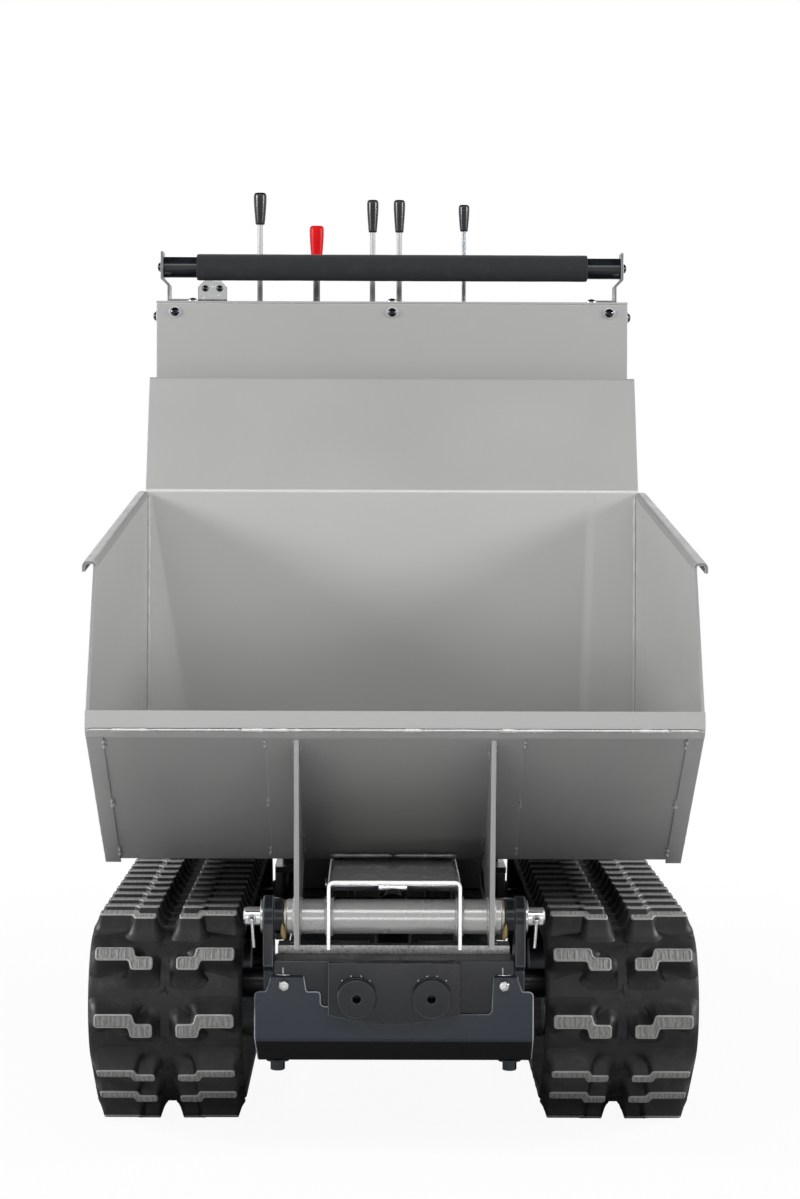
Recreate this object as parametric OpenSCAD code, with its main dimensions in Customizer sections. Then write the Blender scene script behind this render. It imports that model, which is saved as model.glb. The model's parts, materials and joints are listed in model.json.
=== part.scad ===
// Tracked power carrier: rubber tracks, chassis, tipping skip, engine bay and lever console.
// Millimetres, +Z up, front (the skip lip) towards -Y, origin on the ground in the middle.

/* [Overall] */
// length from the front lip of the skip to the back of the console
overall_l = 1350; // [1250:1:1500]
// width over the two tracks
track_span = 715; // [690:1:760]
// width of the skip over its side walls
skip_w = 700; // [680:1:720]

/* [Tracks] */
// width of one rubber track
track_w = 180; // [170:1:190]
// distance from one lug row to the next
track_pitch = 60; // [58:0.5:62]
// number of lug rows round one track
track_links = 40; // [39:1:41]
// thickness of the rubber belt
carcass_t = 14; // [12:0.5:15]
// height of the tread lugs
lug_h = 20; // [17:0.5:22]
// length of a lug at its worn top
lug_top = 14; // [12:0.5:17]
// length of a lug where it grows out of the belt
lug_base = 34; // [30:0.5:38]
// step between the outer and the inner part of a lug
lug_step = 12; // [9:0.5:14]
// where the first lug row lies, as a share of the pitch
row_phase = 0.17; // [0.11:0.01:0.17]
// height of the guide horns inside the belt
horn_h = 20; // [17:0.5:22]
// teeth on a drive sprocket
sprocket_teeth = 8; // [8:1:8]
// height of the sprocket and idler axles
wheel_z = 157; // [155:0.5:162]
// radius of a track roller
roller_r = 36; // [34:0.5:37]
// distance from the idler axle to the first roller axle
ramp_run = 68; // [67:0.5:74]
// gap between the wheels and the belt
wheel_gap = 0.5; // [0.4:0.1:0.8]
// radius of the idler axles
idler_axle_r = 15; // [13:0.5:16]
// radius of the roller axles
roller_axle_r = 12; // [11:0.5:13]
// width of a track frame beam
beam_w = 60; // [56:1:62]
// height of a track frame beam
beam_h = 64; // [60:1:68]
// wall of a track frame beam
beam_t = 6; // [5:0.5:7]

/* [Skip] */
// sheet thickness of the skip
sheet_t = 4; // [3:0.25:5]
// height of the skip floor above the ground
floor_z = 314; // [312:0.5:330]
// distance from the lip back to the front edge of the floor
front_run = 275; // [265:1:290]
// distance from the lip back to the back wall
back_run = 929; // [915:1:935]
// height of the top of the lip
lip_z = 512; // [505:1:520]
// height of the lip strip
lip_h = 24; // [22:0.5:26]
// distance from the lip back to the front end of the rims
rim_run = 105; // [95:1:115]
// height of the front end of the rims
rim_front_z = 679; // [665:1:690]
// height of the fold between the back wall and the headboard
fold_z = 763; // [750:1:775]
// height of the top of the headboard
head_z = 922; // [905:1:935]
// how far the headboard leans back
head_lean = 77; // [65:1:85]
// width of the rim flanges
rim_w = 13; // [11:0.5:16]
// height of the folded edge of the rim flanges
rim_lip = 13; // [11:0.5:16]
// width of the reinforcing plate in the middle of the front wall
doubler_w = 295; // [285:1:305]
// thickness of the reinforcing plates
doubler_t = 3; // [2.5:0.25:4]
// width of the folded strips at the sides of the front wall
strip_w = 19; // [16:0.5:22]

/* [Skip pivot and ram] */
// distance from the lip back to the pivot axis
pivot_run = 87; // [85:0.5:92]
// height of the pivot axis
pivot_z = 269; // [268:0.5:272]
// radius of the pivot pin
pin_r = 11; // [10:0.25:11.5]
// outer radius of the pivot tube
tube_r = 20; // [19:0.25:21]
// length of the pivot tube
tube_l = 248; // [244:1:250]
// outer width of the channel under the skip
channel_w = 155; // [150:1:158]
// height of the channel under the skip
channel_h = 80; // [76:0.5:81]
// sheet thickness of the channel
channel_t = 4; // [3.5:0.25:5]
// distance between the middles of the two gussets
gusset_span = 224; // [216:1:228]
// thickness of a gusset
gusset_t = 6; // [5:0.25:7]
// radius of the ram barrel
ram_r = 25; // [23:0.5:26]
// radius of the ram rod
rod_r = 12; // [11:0.5:13]
// radius of the ram pins
ram_pin_r = 8; // [7:0.25:9]
// free play of the upper ram eye round its pin
ram_play = 18; // [17:0.5:19]
// running clearance of a shaft in its bore
run_gap = 0.05; // [0.02:0.01:0.08]

/* [Chassis] */
// width of a chassis rail
rail_w = 44; // [40:1:46]
// distance between the middles of the rails
rail_span = 206; // [200:1:210]
// height of the top of the rails
rail_z = 218; // [216:0.5:219]
// width of the bumper
bumper_w = 323; // [315:1:330]
// sheet thickness of the bumper
bumper_t = 5; // [4:0.25:6]
// width of the coupling bracket
coupling_w = 152; // [146:1:156]
// distance between the two coupling bosses
boss_span = 86; // [82:0.5:90]
// outer diameter of a coupling boss
boss_d = 44; // [42:0.5:46]
// hole in a coupling boss
boss_hole_d = 10.2; // [9:0.1:12]
// height of the coupling bosses
boss_z = 178; // [174:0.5:182]
// radius of the cross tubes
cross_r = 18; // [16:0.5:19]
// thickness of the engine deck
deck_t = 8; // [6:0.5:9]

/* [Console] */
// width of the console
console_w = 690; // [680:1:696]
// distance from the lip back to the console front panel
console_run = 1075; // [1070:1:1085]
// height of the top of the console
console_z = 1042; // [1030:1:1055]
// sheet thickness of the console
console_t = 3; // [2.5:0.25:3.5]
// height of the grab bar above the console top
bar_rise = 52; // [48:1:58]
// radius of the grab bar tube
bar_r = 15.5; // [14:0.25:16.5]
// outer radius of the foam grip
foam_r = 19.5; // [18.5:0.25:21]
// length of the foam grip
foam_l = 576; // [565:1:585]
// distance between the outer faces of the bar end plates
bar_span = 681; // [672:1:686]

/* [Levers] */
// height of the lever shaft
shaft_z = 960; // [955:1:970]
// radius of the lever shaft
shaft_r = 8; // [7:0.25:9]
// radius of a lever hub
hub_r = 15; // [13:0.5:16]
// diameter of the tip, drive and speed lever rods
lever_d = 8; // [6:0.25:9]
// height of the tip lever
tip_top_z = 1212; // [1200:1:1225]
// height of the red lever
red_top_z = 1163; // [1155:1:1175]
// height of the two drive levers
drive_top_z = 1202; // [1190:1:1210]
// height of the speed lever
speed_top_z = 1195; // [1185:1:1205]

/* [Hidden] */
$fn = 48;
e = 0.1;
lip_y = -overall_l / 2;
rear_y = overall_l / 2;
track_x = (track_span - track_w) / 2;
cord_r = sprocket_teeth * track_pitch / (2 * PI);
belt_in_r = cord_r - carcass_t / 2;
lug_out_r = cord_r + carcass_t / 2 + lug_h;
track_front_y = lip_y + 100;
idler_y = track_front_y + lug_out_r;
roller_z = lug_h + carcass_t + wheel_gap + roller_r;
roller_path_r = roller_r + wheel_gap;
ramp_d = norm([ramp_run, wheel_z - roller_z]);
ramp_slope = atan2(wheel_z - roller_z, ramp_run) - asin((belt_in_r - roller_path_r) / ramp_d);
ramp_l = sqrt(pow(ramp_d, 2) - pow(belt_in_r - roller_path_r, 2));
roller_cord_r = roller_path_r + carcass_t / 2;
arc_big = cord_r * (180 - ramp_slope) * PI / 180;
arc_small = roller_cord_r * ramp_slope * PI / 180;
wheelbase = (track_links * track_pitch - 2 * arc_big - 2 * arc_small - 2 * ramp_l + 2 * ramp_run) / 2;
sprocket_y = idler_y + wheelbase;
roller_ys = [idler_y + ramp_run, idler_y + wheelbase / 2, sprocket_y - ramp_run];
// each belt arc: centre, radius of the inner belt face, start and end angle of the outward direction
belt_arcs = [
    [[idler_y, wheel_z], belt_in_r, 90, 270 - ramp_slope],
    [[roller_ys[0], roller_z], roller_path_r, 270 - ramp_slope, 270],
    [[roller_ys[2], roller_z], roller_path_r, 270, 270 + ramp_slope],
    [[sprocket_y, wheel_z], belt_in_r, 270 + ramp_slope, 450]
];
belt_lines = [ramp_l, wheelbase - 2 * ramp_run, ramp_l, wheelbase];

pivot_y = lip_y + pivot_run;
front_y = lip_y + front_run;
back_y = lip_y + back_run;
wall_top = [lip_y + 8, lip_z - lip_h];
wall_low = [front_y, floor_z];
wall_dir = (wall_low - wall_top) / norm(wall_low - wall_top);
wall_out = [wall_dir[1], -wall_dir[0]];
wall_l = norm(wall_low - wall_top);
foot_z = floor_z - channel_h;
channel_front_y = pivot_y - 30;
ram_low = [pivot_y + 95, pivot_z - 128];
ram_up = [pivot_y + 345, pivot_z - 5];
ram_l = norm(ram_up - ram_low);
ram_angle = atan2(ram_up[1] - ram_low[1], ram_up[0] - ram_low[0]);
channel_back_y = ram_up[0] + 60;
eye_in_r = ram_pin_r + ram_play;
eye_out_r = eye_in_r + 4;
bar_z = console_z + bar_rise;
mount_x = ram_r + 2;
mount_t = 10;

cross_y = pivot_y - 3;
bumper_y = cross_y - bumper_t - e;
bracket_y = bumper_y - 15;
lug_x = tube_l / 2 + 15;
lug_t = 12;
washer_t = 3;
split_x = lug_x + lug_t + 13;
pin_end = split_x + 10;
rail_bottom = wheel_z + cross_r + 0.2;
rail_x = rail_span / 2;
cross_tube_ys = [idler_y + 112, sprocket_y - 140];
deck_z = rail_z + 0.2;
deck_top = deck_z + deck_t;
panel_y = lip_y + console_run;
cradle_h = 25;
cradle_z = 285;
cradle_top = cradle_z + cradle_h;
shaft_y = panel_y + 120;
bar_y = panel_y + 40;
plate_x = bar_span / 2;
motor_x = 170;
guard_z = wheel_z - 97;
engine_y = panel_y + 30;
crank_z = deck_top + 100;
tank_out = console_w / 2 - 13;
tank_in = 214;
lever_x = [-198, -113, -29, 11, 108];
lever_top = [tip_top_z, red_top_z, drive_top_z, drive_top_z, speed_top_z];
grip_l = [48, 55, 49, 49, 40];
grip_w = [19, 21, 17, 17, 16];

// draws a side view (first axis along Y, second along Z) and gives it a width from x0 to x1
module across(x0, x1) translate([x0, 0, 0]) rotate([90, 0, 90]) linear_extrude(x1 - x0) children();
// the same piece on the left and on the right
module both() { children(); mirror([1, 0, 0]) children(); }
// a round bar along X
module bar_x(x0, x1, r, y, z) translate([x0, y, z]) rotate([0, 90, 0]) cylinder(h = x1 - x0, r = r);
// a round bar along Y
module bar_y(y0, y1, r, x, z) translate([x, y1, z]) rotate([90, 0, 0]) cylinder(h = y1 - y0, r = r);
// a box from one corner to the other
module box(a, b) translate(a) cube(b - a);
// one side of a folded sheet: the line of its outer face, then the same line moved in by its thickness
function fold_dir(p, i) = (p[i + 1] - p[i]) / norm(p[i + 1] - p[i]);
function left_of(d) = [-d[1], d[0]];
function mitre(p, i, t) = let (
    a = left_of(fold_dir(p, max(i - 1, 0))),
    b = left_of(fold_dir(p, min(i, len(p) - 2)))) p[i] + t * (a + b) / (1 + a * b);
function folded(p, t) = concat(p, [for (i = [len(p) - 1:-1:0]) mitre(p, i, t)]);
// a hexagon head or nut along Y
module hex_y(x, y0, y1, z, across_flats) translate([x, y1, z]) rotate([90, 0, 0])
    cylinder(h = y1 - y0, r = across_flats / sqrt(3), $fn = 6);
// a hexagon head or nut along Z
module hex_z(x, y, z0, z1, across_flats) translate([x, y, z0])
    cylinder(h = z1 - z0, r = across_flats / sqrt(3), $fn = 6);

// belt: outline of the loop moved out by off, and place and direction at a length along it
function belt_outline(off) = [for (a = belt_arcs) for (i = [0:14])
    let (t = a[2] + (a[3] - a[2]) * i / 14) a[0] + (a[1] + off) * [cos(t), sin(t)]];
function arc_len(i) = (belt_arcs[i][1] + carcass_t / 2) * (belt_arcs[i][3] - belt_arcs[i][2]) * PI / 180;
function belt_at(s, i = 0) = s < 0 ? belt_at(s + track_links * track_pitch, i)
    : let (a = belt_arcs[i % 4], r = a[1] + carcass_t / 2, al = arc_len(i % 4))
    s <= al ? let (t = a[2] + (a[3] - a[2]) * s / al) concat(a[0] + r * [cos(t), sin(t)], [t])
    : s <= al + belt_lines[i % 4] ? let (t = a[3], d = s - al)
        concat(a[0] + r * [cos(t), sin(t)] + d * [-sin(t), cos(t)], [t])
    : belt_at(s - al - belt_lines[i % 4], i + 1);
module rows(shift) for (k = [0:track_links - 1]) let (p = belt_at((k + row_phase) * track_pitch + shift))
    translate([p[0], p[1]]) rotate(p[2]) children();
module lugs(x0, x1, shift) across(x0, x1) rows(shift)
    polygon([[0, -lug_base / 2], [carcass_t / 2 + lug_h, -lug_top / 2],
        [carcass_t / 2 + lug_h, lug_top / 2], [0, lug_base / 2]]);
module horns(x0, x1) across(x0, x1) rows(0)
    polygon([[0, -13], [-carcass_t / 2 - horn_h, -7], [-carcass_t / 2 - horn_h, 7], [0, 13]]);
module belt() {
    difference() {
        across(-track_w / 2, track_w / 2) difference() {
            polygon(belt_outline(carcass_t));
            polygon(belt_outline(0));
        }
        across(-11, 11) rows(track_pitch / 2) square([2 * carcass_t, 18], center = true);
    }
    both() {
        lugs(track_w / 2 - 53, track_w / 2 - 10, -lug_step / 2);
        lugs(track_w / 2 - 75, track_w / 2 - 53 + e, lug_step / 2);
        horns(18, 30);
    }
}
module track_left() color("#2d2d2d") translate([-track_x, 0, 0]) belt();
module track_right() color("#2d2d2d") translate([track_x, 0, 0]) belt();

// wheels inside the tracks
module idler() {
    rim = belt_in_r - wheel_gap;
    difference() {
        union() {
            bar_x(-62, 62, idler_axle_r, idler_y, wheel_z);
            both() {
                bar_x(11, 35, idler_axle_r + 10, idler_y, wheel_z);
                bar_x(34, 62, rim, idler_y, wheel_z);
            }
        }
        both() for (i = [0:5]) let (t = 60 * i)
            bar_x(30, 70, 12, idler_y + rim * 0.64 * cos(t), wheel_z + rim * 0.64 * sin(t));
    }
}
module idler_left() color("#3a3d42") translate([-track_x, 0, 0]) idler();
module idler_right() color("#3a3d42") translate([track_x, 0, 0]) idler();
module roller(i) {
    bar_x(-64, 64, roller_axle_r, roller_ys[i], roller_z);
    both() {
        bar_x(11, 35, roller_axle_r + 3, roller_ys[i], roller_z);
        bar_x(34, 64, roller_r, roller_ys[i], roller_z);
    }
}
module roller_left_1() color("#3a3d42") translate([-track_x, 0, 0]) roller(0);
module roller_left_2() color("#3a3d42") translate([-track_x, 0, 0]) roller(1);
module roller_left_3() color("#3a3d42") translate([-track_x, 0, 0]) roller(2);
module roller_right_1() color("#3a3d42") translate([track_x, 0, 0]) roller(0);
module roller_right_2() color("#3a3d42") translate([track_x, 0, 0]) roller(1);
module roller_right_3() color("#3a3d42") translate([track_x, 0, 0]) roller(2);
module sprocket() {
    tip = belt_in_r - 1;
    root = tip - 18;
    step = 360 / sprocket_teeth;
    across(-11, 11) translate([sprocket_y, wheel_z]) polygon([for (i = [0:sprocket_teeth - 1])
        for (p = [[root, -0.32], [tip, -0.14], [tip, 0.14], [root, 0.32]])
            p[0] * [cos(step * (i + p[1])), sin(step * (i + p[1]))]]);
    bar_x(-45, 30, 30, sprocket_y, wheel_z);
    bar_x(110 - track_x, -44, 14, sprocket_y, wheel_z);
}
module sprocket_right() color("#4a4d50") translate([track_x, 0, 0]) sprocket();
module sprocket_left() color("#4a4d50") mirror([1, 0, 0]) translate([track_x, 0, 0]) sprocket();

// track frames with roller hangers, and the idler yokes that slide in them
module track_frame() {
    y0 = idler_y + 62;
    y1 = sprocket_y - 80;
    top = wheel_z - beam_h / 2 - roller_z + e;
    hanger_l = 36;
    // the rear hanger leans forward, clear of the sprocket
    hanger_y = [6, 0, y1 - roller_ys[2] - hanger_l / 2 - 1];
    difference() {
        union() {
            box([-beam_w / 2, y0, wheel_z - beam_h / 2], [beam_w / 2, y1, wheel_z + beam_h / 2]);
            for (i = [0:2]) across(-10, 10) translate([roller_ys[i], roller_z])
                polygon([[hanger_y[i] - hanger_l / 2, top], [hanger_y[i] + hanger_l / 2, top],
                    [18, -10], [10, -18], [-10, -18], [-18, -10]]);
        }
        box([-beam_w / 2 + beam_t, y0 - 1, wheel_z - beam_h / 2 + beam_t],
            [beam_w / 2 - beam_t, y1 - beam_t, wheel_z + beam_h / 2 - beam_t]);
        for (y = roller_ys) bar_x(-12, 12, roller_axle_r + run_gap, y, roller_z);
    }
}
module track_frames() color("#2b2f34") {
    translate([-track_x, 0, 0]) track_frame();
    translate([track_x, 0, 0]) track_frame();
}
module idler_yoke() {
    bw = beam_w / 2 - beam_t - 0.4;
    bh = beam_h / 2 - beam_t - 0.4;
    difference() {
        union() {
            across(-10, 10) {
                translate([idler_y, wheel_z]) circle(r = idler_axle_r + 8);
                translate([idler_y, wheel_z - 20]) square([60, 40]);
            }
            box([-bw, idler_y + 44, wheel_z - bh], [bw, idler_y + 230, wheel_z + bh]);
        }
        bar_x(-12, 12, idler_axle_r + run_gap, idler_y, wheel_z);
    }
}
module idler_yokes() color("#2b2f34") {
    translate([-track_x, 0, 0]) idler_yoke();
    translate([track_x, 0, 0]) idler_yoke();
}

// chassis: front cross box with pivot lugs, rails, cross tubes, deck, motor plates, rear guard, cradle
module pivot_lug() difference() {
    union() {
        across(lug_x, lug_x + lug_t) {
            translate([pivot_y, pivot_z]) circle(r = pin_r + 13);
            polygon([[pivot_y - pin_r - 12, pivot_z], [pivot_y - pin_r - 12, rail_z - 4],
                [cross_y + 0.3, rail_z - 12], [cross_y + 0.3, rail_bottom - 12],
                [pivot_y + 58, rail_bottom - 12], [pivot_y + 58, rail_z], [pivot_y + pin_r + 12, pivot_z]]);
        }
        bar_x(lug_x - 11.5, lug_x + e, tube_r, pivot_y, pivot_z);
    }
    bar_x(lug_x - 20, lug_x + 20, pin_r + run_gap, pivot_y, pivot_z);
}
module chassis_frame() color("#2b2f34") {
    cross_back = cross_y + 60;
    // front cross box and the pivot lugs on its ends
    box([-lug_x + e, cross_y, rail_bottom - 24], [lug_x - e, cross_back, rail_z]);
    both() pivot_lug();
    // rails
    both() box([rail_x - rail_w / 2, cross_back + e, rail_bottom],
        [rail_x + rail_w / 2, sprocket_y - 70, rail_z]);
    // cross tubes between the track frames
    for (y = cross_tube_ys) bar_x(-track_x + beam_w / 2 + e, track_x - beam_w / 2 - e, cross_r, y, wheel_z);
    // ram lower mount: two plates hanging from a bar between the rails, with their pin
    both() difference() {
        box([mount_x, cross_back + e, ram_low[1] - 20], [mount_x + mount_t, ram_low[0] + 24, rail_bottom]);
        bar_x(mount_x - 5, mount_x + mount_t + 5, ram_pin_r + run_gap, ram_low[0], ram_low[1]);
    }
    both() box([mount_x + mount_t + e, cross_back + e, rail_bottom - 14],
        [rail_x - rail_w / 2 - e, ram_low[0] + 24, rail_bottom + 12]);
    bar_x(-mount_x - mount_t - 4, mount_x + mount_t + 4, ram_pin_r, ram_low[0], ram_low[1]);
    // rests under the back of the skip floor
    both() box([rail_x - 20, 80, rail_z + e], [rail_x + 20, 120, floor_z - 0.4]);
    // engine deck with the hose slots
    difference() {
        box([-165, back_y + 16, deck_z], [165, rear_y - 35, deck_top]);
        both() box([118, sprocket_y + 76, deck_z - 1], [152, sprocket_y + 110, deck_top + 1]);
    }
    // motor plates under the deck
    both() difference() {
        box([motor_x - 21, sprocket_y - 62, wheel_z - 60], [motor_x - 12.2, sprocket_y + 62, deck_z - e]);
        bar_x(motor_x - 30, motor_x, 53, sprocket_y, wheel_z);
    }
    // rear guard plate under the back edge of the deck
    box([-150, rear_y - 43, guard_z], [150, rear_y - 35, deck_z - e]);
    // cradle beams on posts, carrying the console
    both() for (y = [panel_y - 20, rear_y - 50]) {
        box([130, y + 1, deck_top + e], [158, y + 29, cradle_z - e]);
        box([112, y, cradle_z], [console_w / 2 - 4, y + 30, cradle_top]);
    }
}
module rest_plate() color("#d8d9da") difference() {
    w = lug_x - 3;
    box([-w, pivot_y + 52, rail_z + 0.2], [w, pivot_y + 92, rail_z + 10]);
    both() translate([w - 18, pivot_y + 72, rail_z - 1]) cylinder(h = 20, r = 5);
    // notch for the raised ram
    box([-ram_r - 4, pivot_y + 74, rail_z - 1], [ram_r + 4, pivot_y + 93, rail_z + 11]);
}
module pivot_pin() color("#b9bcc0") difference() {
    bar_x(-pin_end, pin_end, pin_r, pivot_y, pivot_z);
    both() translate([split_x, pivot_y, pivot_z - 20]) cylinder(h = 40, r = 2.3);
}
module pivot_washers() color("#c4c6c8") both() difference() {
    bar_x(lug_x + lug_t + 0.3, lug_x + lug_t + 0.3 + washer_t, pin_r + 8.5, pivot_y, pivot_z);
    bar_x(lug_x, lug_x + lug_t + 20, pin_r + 0.3, pivot_y, pivot_z);
}
module split_pins() color("#a8a9a8") both() {
    translate([split_x, pivot_y, pivot_z - 34]) cylinder(h = 34 + pin_r + 2, r = 2);
    translate([split_x, pivot_y, pivot_z + pin_r + 6]) rotate([0, 90, 0])
        rotate_extrude() translate([5, 0]) circle(r = 1.8);
}
module front_bumper() color("#3a3e45") difference() {
    low = 100;
    union() {
        across(-bumper_w / 2, bumper_w / 2) polygon(folded([[bumper_y + 42, low], [bumper_y + 16, low],
            [bumper_y, 126], [bumper_y, 183]], -bumper_t));
        both() box([104, bumper_y, 182], [150, cross_y - e, 202]);
    }
    box([-82, bumper_y - 1, 155], [96, cross_y + 1, 190]);
    both() {
        bar_y(bumper_y - 1, cross_y + 1, 5.2, 127, 192);
        translate([135, bumper_y + 30, low - 2]) cylinder(h = 12, r = 5.2);
    }
}
module hex_bolts() color("#9a9da0") both() {
    hex_y(127, bumper_y - 7, bumper_y - 0.1, 192, 17);
    bar_y(bumper_y - 1, cross_y - 0.2, 5, 127, 192);
    hex_z(127, cross_y + 14, rail_z + 0.2, rail_z + 3.6, 17);
    hex_z(135, bumper_y + 30, 92, 99.9, 17);
    translate([135, bumper_y + 30, 99]) cylinder(h = 10, r = 5);
}
module coupling_bracket() color("#2b2f34") difference() {
    union() {
        intersection() {
            box([-coupling_w / 2, bracket_y, 140], [coupling_w / 2, cross_y - 0.2, rail_z]);
            union() {
                translate([-coupling_w / 2, bracket_y, 165]) cube([coupling_w, 8, 80]);
                translate([0, bracket_y + 8, 148 + 300]) rotate([90, 0, 0])
                    cylinder(h = 8, r = 300, $fn = 160);
                both() translate([coupling_w / 2 - 6, bracket_y, 165]) cube([6, 60, 80]);
            }
        }
        both() bar_y(bracket_y - 12, bracket_y + 1, boss_d / 2, boss_span / 2, boss_z);
    }
    both() bar_y(bracket_y - 20, bracket_y + 20, boss_hole_d / 2, boss_span / 2, boss_z);
}

// skip
module skip_tub() color("#a8a8a8") {
    line = [wall_top, wall_low, [back_y, floor_z], [back_y, fold_z], [back_y + head_lean, head_z],
        [back_y + head_lean + 14, head_z]];
    across(-skip_w / 2, skip_w / 2) polygon(folded([for (i = [0:4]) line[i]], sheet_t));
    across(-skip_w / 2 + 4, skip_w / 2 - 4)
        polygon(folded([[back_y + head_lean - 1, head_z], line[5]], -2.5));
    rim_a = [lip_y + rim_run, rim_front_z];
    rim_b = [back_y, fold_z];
    both() {
        across(skip_w / 2 - sheet_t, skip_w / 2)
            polygon([wall_top, wall_low, [back_y, floor_z], rim_b, rim_a, [lip_y + 9, lip_z]]);
        across(skip_w / 2 - 1, skip_w / 2 + rim_w)
            polygon([rim_a, rim_b, rim_b - [0, sheet_t], rim_a - [0, sheet_t]]);
        across(skip_w / 2 + rim_w - sheet_t, skip_w / 2 + rim_w)
            polygon([rim_a, rim_b, rim_b - [0, rim_lip], rim_a - [0, rim_lip]]);
    }
}
module skip_lip() color("#b4b4b4") difference() {
    across(-skip_w / 2, skip_w / 2) polygon([[lip_y, lip_z - 19], [lip_y + 4, lip_z], [lip_y + 9, lip_z],
        [wall_top[0] + 0.6, wall_top[1] + 3], wall_top, wall_top + 8 * wall_dir,
        wall_top + 8 * wall_dir + 3 * wall_out, [lip_y + 3, wall_top[1] + 1], [lip_y + 3, lip_z - 19]]);
    // the side walls end in the lip
    both() across(skip_w / 2 - sheet_t - e, skip_w / 2 + e)
        polygon([wall_top, wall_top + [-0.1, 0], [lip_y + 9 - 0.1, lip_z + 1], [lip_y + 30, lip_z + 1]]);
}
module on_wall(x0, x1, s0, s1, t) across(x0, x1) polygon([
    wall_top + s0 * wall_dir + 0.03 * wall_out, wall_top + s1 * wall_dir + 0.03 * wall_out,
    wall_top + s1 * wall_dir + t * wall_out, wall_top + s0 * wall_dir + t * wall_out]);
module skip_doublers() color("#a4a4a4") {
    on_wall(-doubler_w / 2, doubler_w / 2, 9, wall_l - 14, doubler_t);
    both() on_wall(skip_w / 2 - strip_w, skip_w / 2, 9, wall_l + 4, doubler_t);
}
module skip_gussets() color("#a4a4a4") both() difference() {
    across(gusset_span / 2 - gusset_t / 2, gusset_span / 2 + gusset_t / 2) polygon([
        wall_top + 12 * wall_dir + (doubler_t + e) * wall_out, [pivot_y - 28, foot_z], [pivot_y + 30, foot_z],
        [front_y + 28, floor_z - e], wall_low + [0, -e], wall_low - 13 * wall_dir + e * wall_out,
        wall_low - 13 * wall_dir + (doubler_t + e) * wall_out]);
    bar_x(0, 200, tube_r + run_gap, pivot_y, pivot_z);
}
module skip_channel() color("#a0a0a0") difference() {
    r = 8;
    w = channel_w / 2;
    t = channel_t;
    top = floor_z - e;
    turn = [0, 22.5, 45, 67.5, 90];
    translate([0, channel_back_y, 0]) rotate([90, 0, 0])
        linear_extrude(channel_back_y - channel_front_y) polygon(concat(
        [[w, foot_z]], [for (a = turn) [w - r + r * cos(a), top - r + r * sin(a)]],
        [for (a = turn) [-w + r - r * sin(a), top - r + r * cos(a)]], [[-w, foot_z], [-w + t, foot_z]],
        [for (a = turn) [-w + r - (r - t) * cos(a), top - r + (r - t) * sin(a)]],
        [for (a = turn) [w - r + (r - t) * sin(a), top - r + (r - t) * cos(a)]], [[w - t, foot_z]]));
    bar_x(-200, 200, tube_r + run_gap, pivot_y, pivot_z);
    bar_x(-200, 200, ram_pin_r + run_gap, ram_up[0], ram_up[1]);
}
module skip_pivot_tube() color("#a0a0a0") difference() {
    bar_x(-tube_l / 2, tube_l / 2, tube_r, pivot_y, pivot_z);
    bar_x(-tube_l, tube_l, pin_r + 4, pivot_y, pivot_z);
}
module pivot_bushes() color("#b9995a") both() difference() {
    union() {
        bar_x(tube_l / 2 - 40, tube_l / 2 + 1, pin_r + 3.97, pivot_y, pivot_z);
        bar_x(tube_l / 2 + 0.1, tube_l / 2 + 3, tube_r - 1, pivot_y, pivot_z);
    }
    bar_x(0, tube_l, pin_r + run_gap, pivot_y, pivot_z);
}
module ram_upper_pin() color("#b9bcc0") {
    bar_x(-channel_w / 2 - 8, channel_w / 2 + 8, ram_pin_r, ram_up[0], ram_up[1]);
    both() bar_x(channel_w / 2 + 0.2, channel_w / 2 + 4, ram_pin_r + 5, ram_up[0], ram_up[1]);
}

// ram, drawn along +X from its lower pin and then laid at its angle
module along_ram() translate([0, ram_low[0], ram_low[1]])
    rotate([ram_angle, 0, 0]) rotate([0, 0, 90]) children();
module ram_barrel() color("#2b2f34") along_ram() difference() {
    barrel_end = ram_l - eye_in_r - 34;
    union() {
        rotate([90, 0, 0]) translate([0, 0, -21]) cylinder(h = 42, r = ram_pin_r + 10);
        translate([10, 0, 0]) rotate([0, 90, 0]) cylinder(h = barrel_end - 10, r = ram_r);
    }
    rotate([90, 0, 0]) translate([0, 0, -40]) cylinder(h = 80, r = ram_pin_r + run_gap);
    translate([44, 0, 0]) rotate([0, 90, 0]) cylinder(h = ram_l, r = rod_r + run_gap);
}
module ram_rod() color("#c9cccf") along_ram() difference() {
    union() {
        translate([46, 0, 0]) rotate([0, 90, 0]) cylinder(h = ram_l - eye_in_r - 46 - 2, r = rod_r);
        translate([ram_l, 0, 0]) rotate([90, 0, 0]) translate([0, 0, -18]) cylinder(h = 36, r = eye_out_r);
    }
    translate([ram_l, 0, 0]) rotate([90, 0, 0]) translate([0, 0, -30]) cylinder(h = 60, r = eye_in_r);
}

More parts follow.
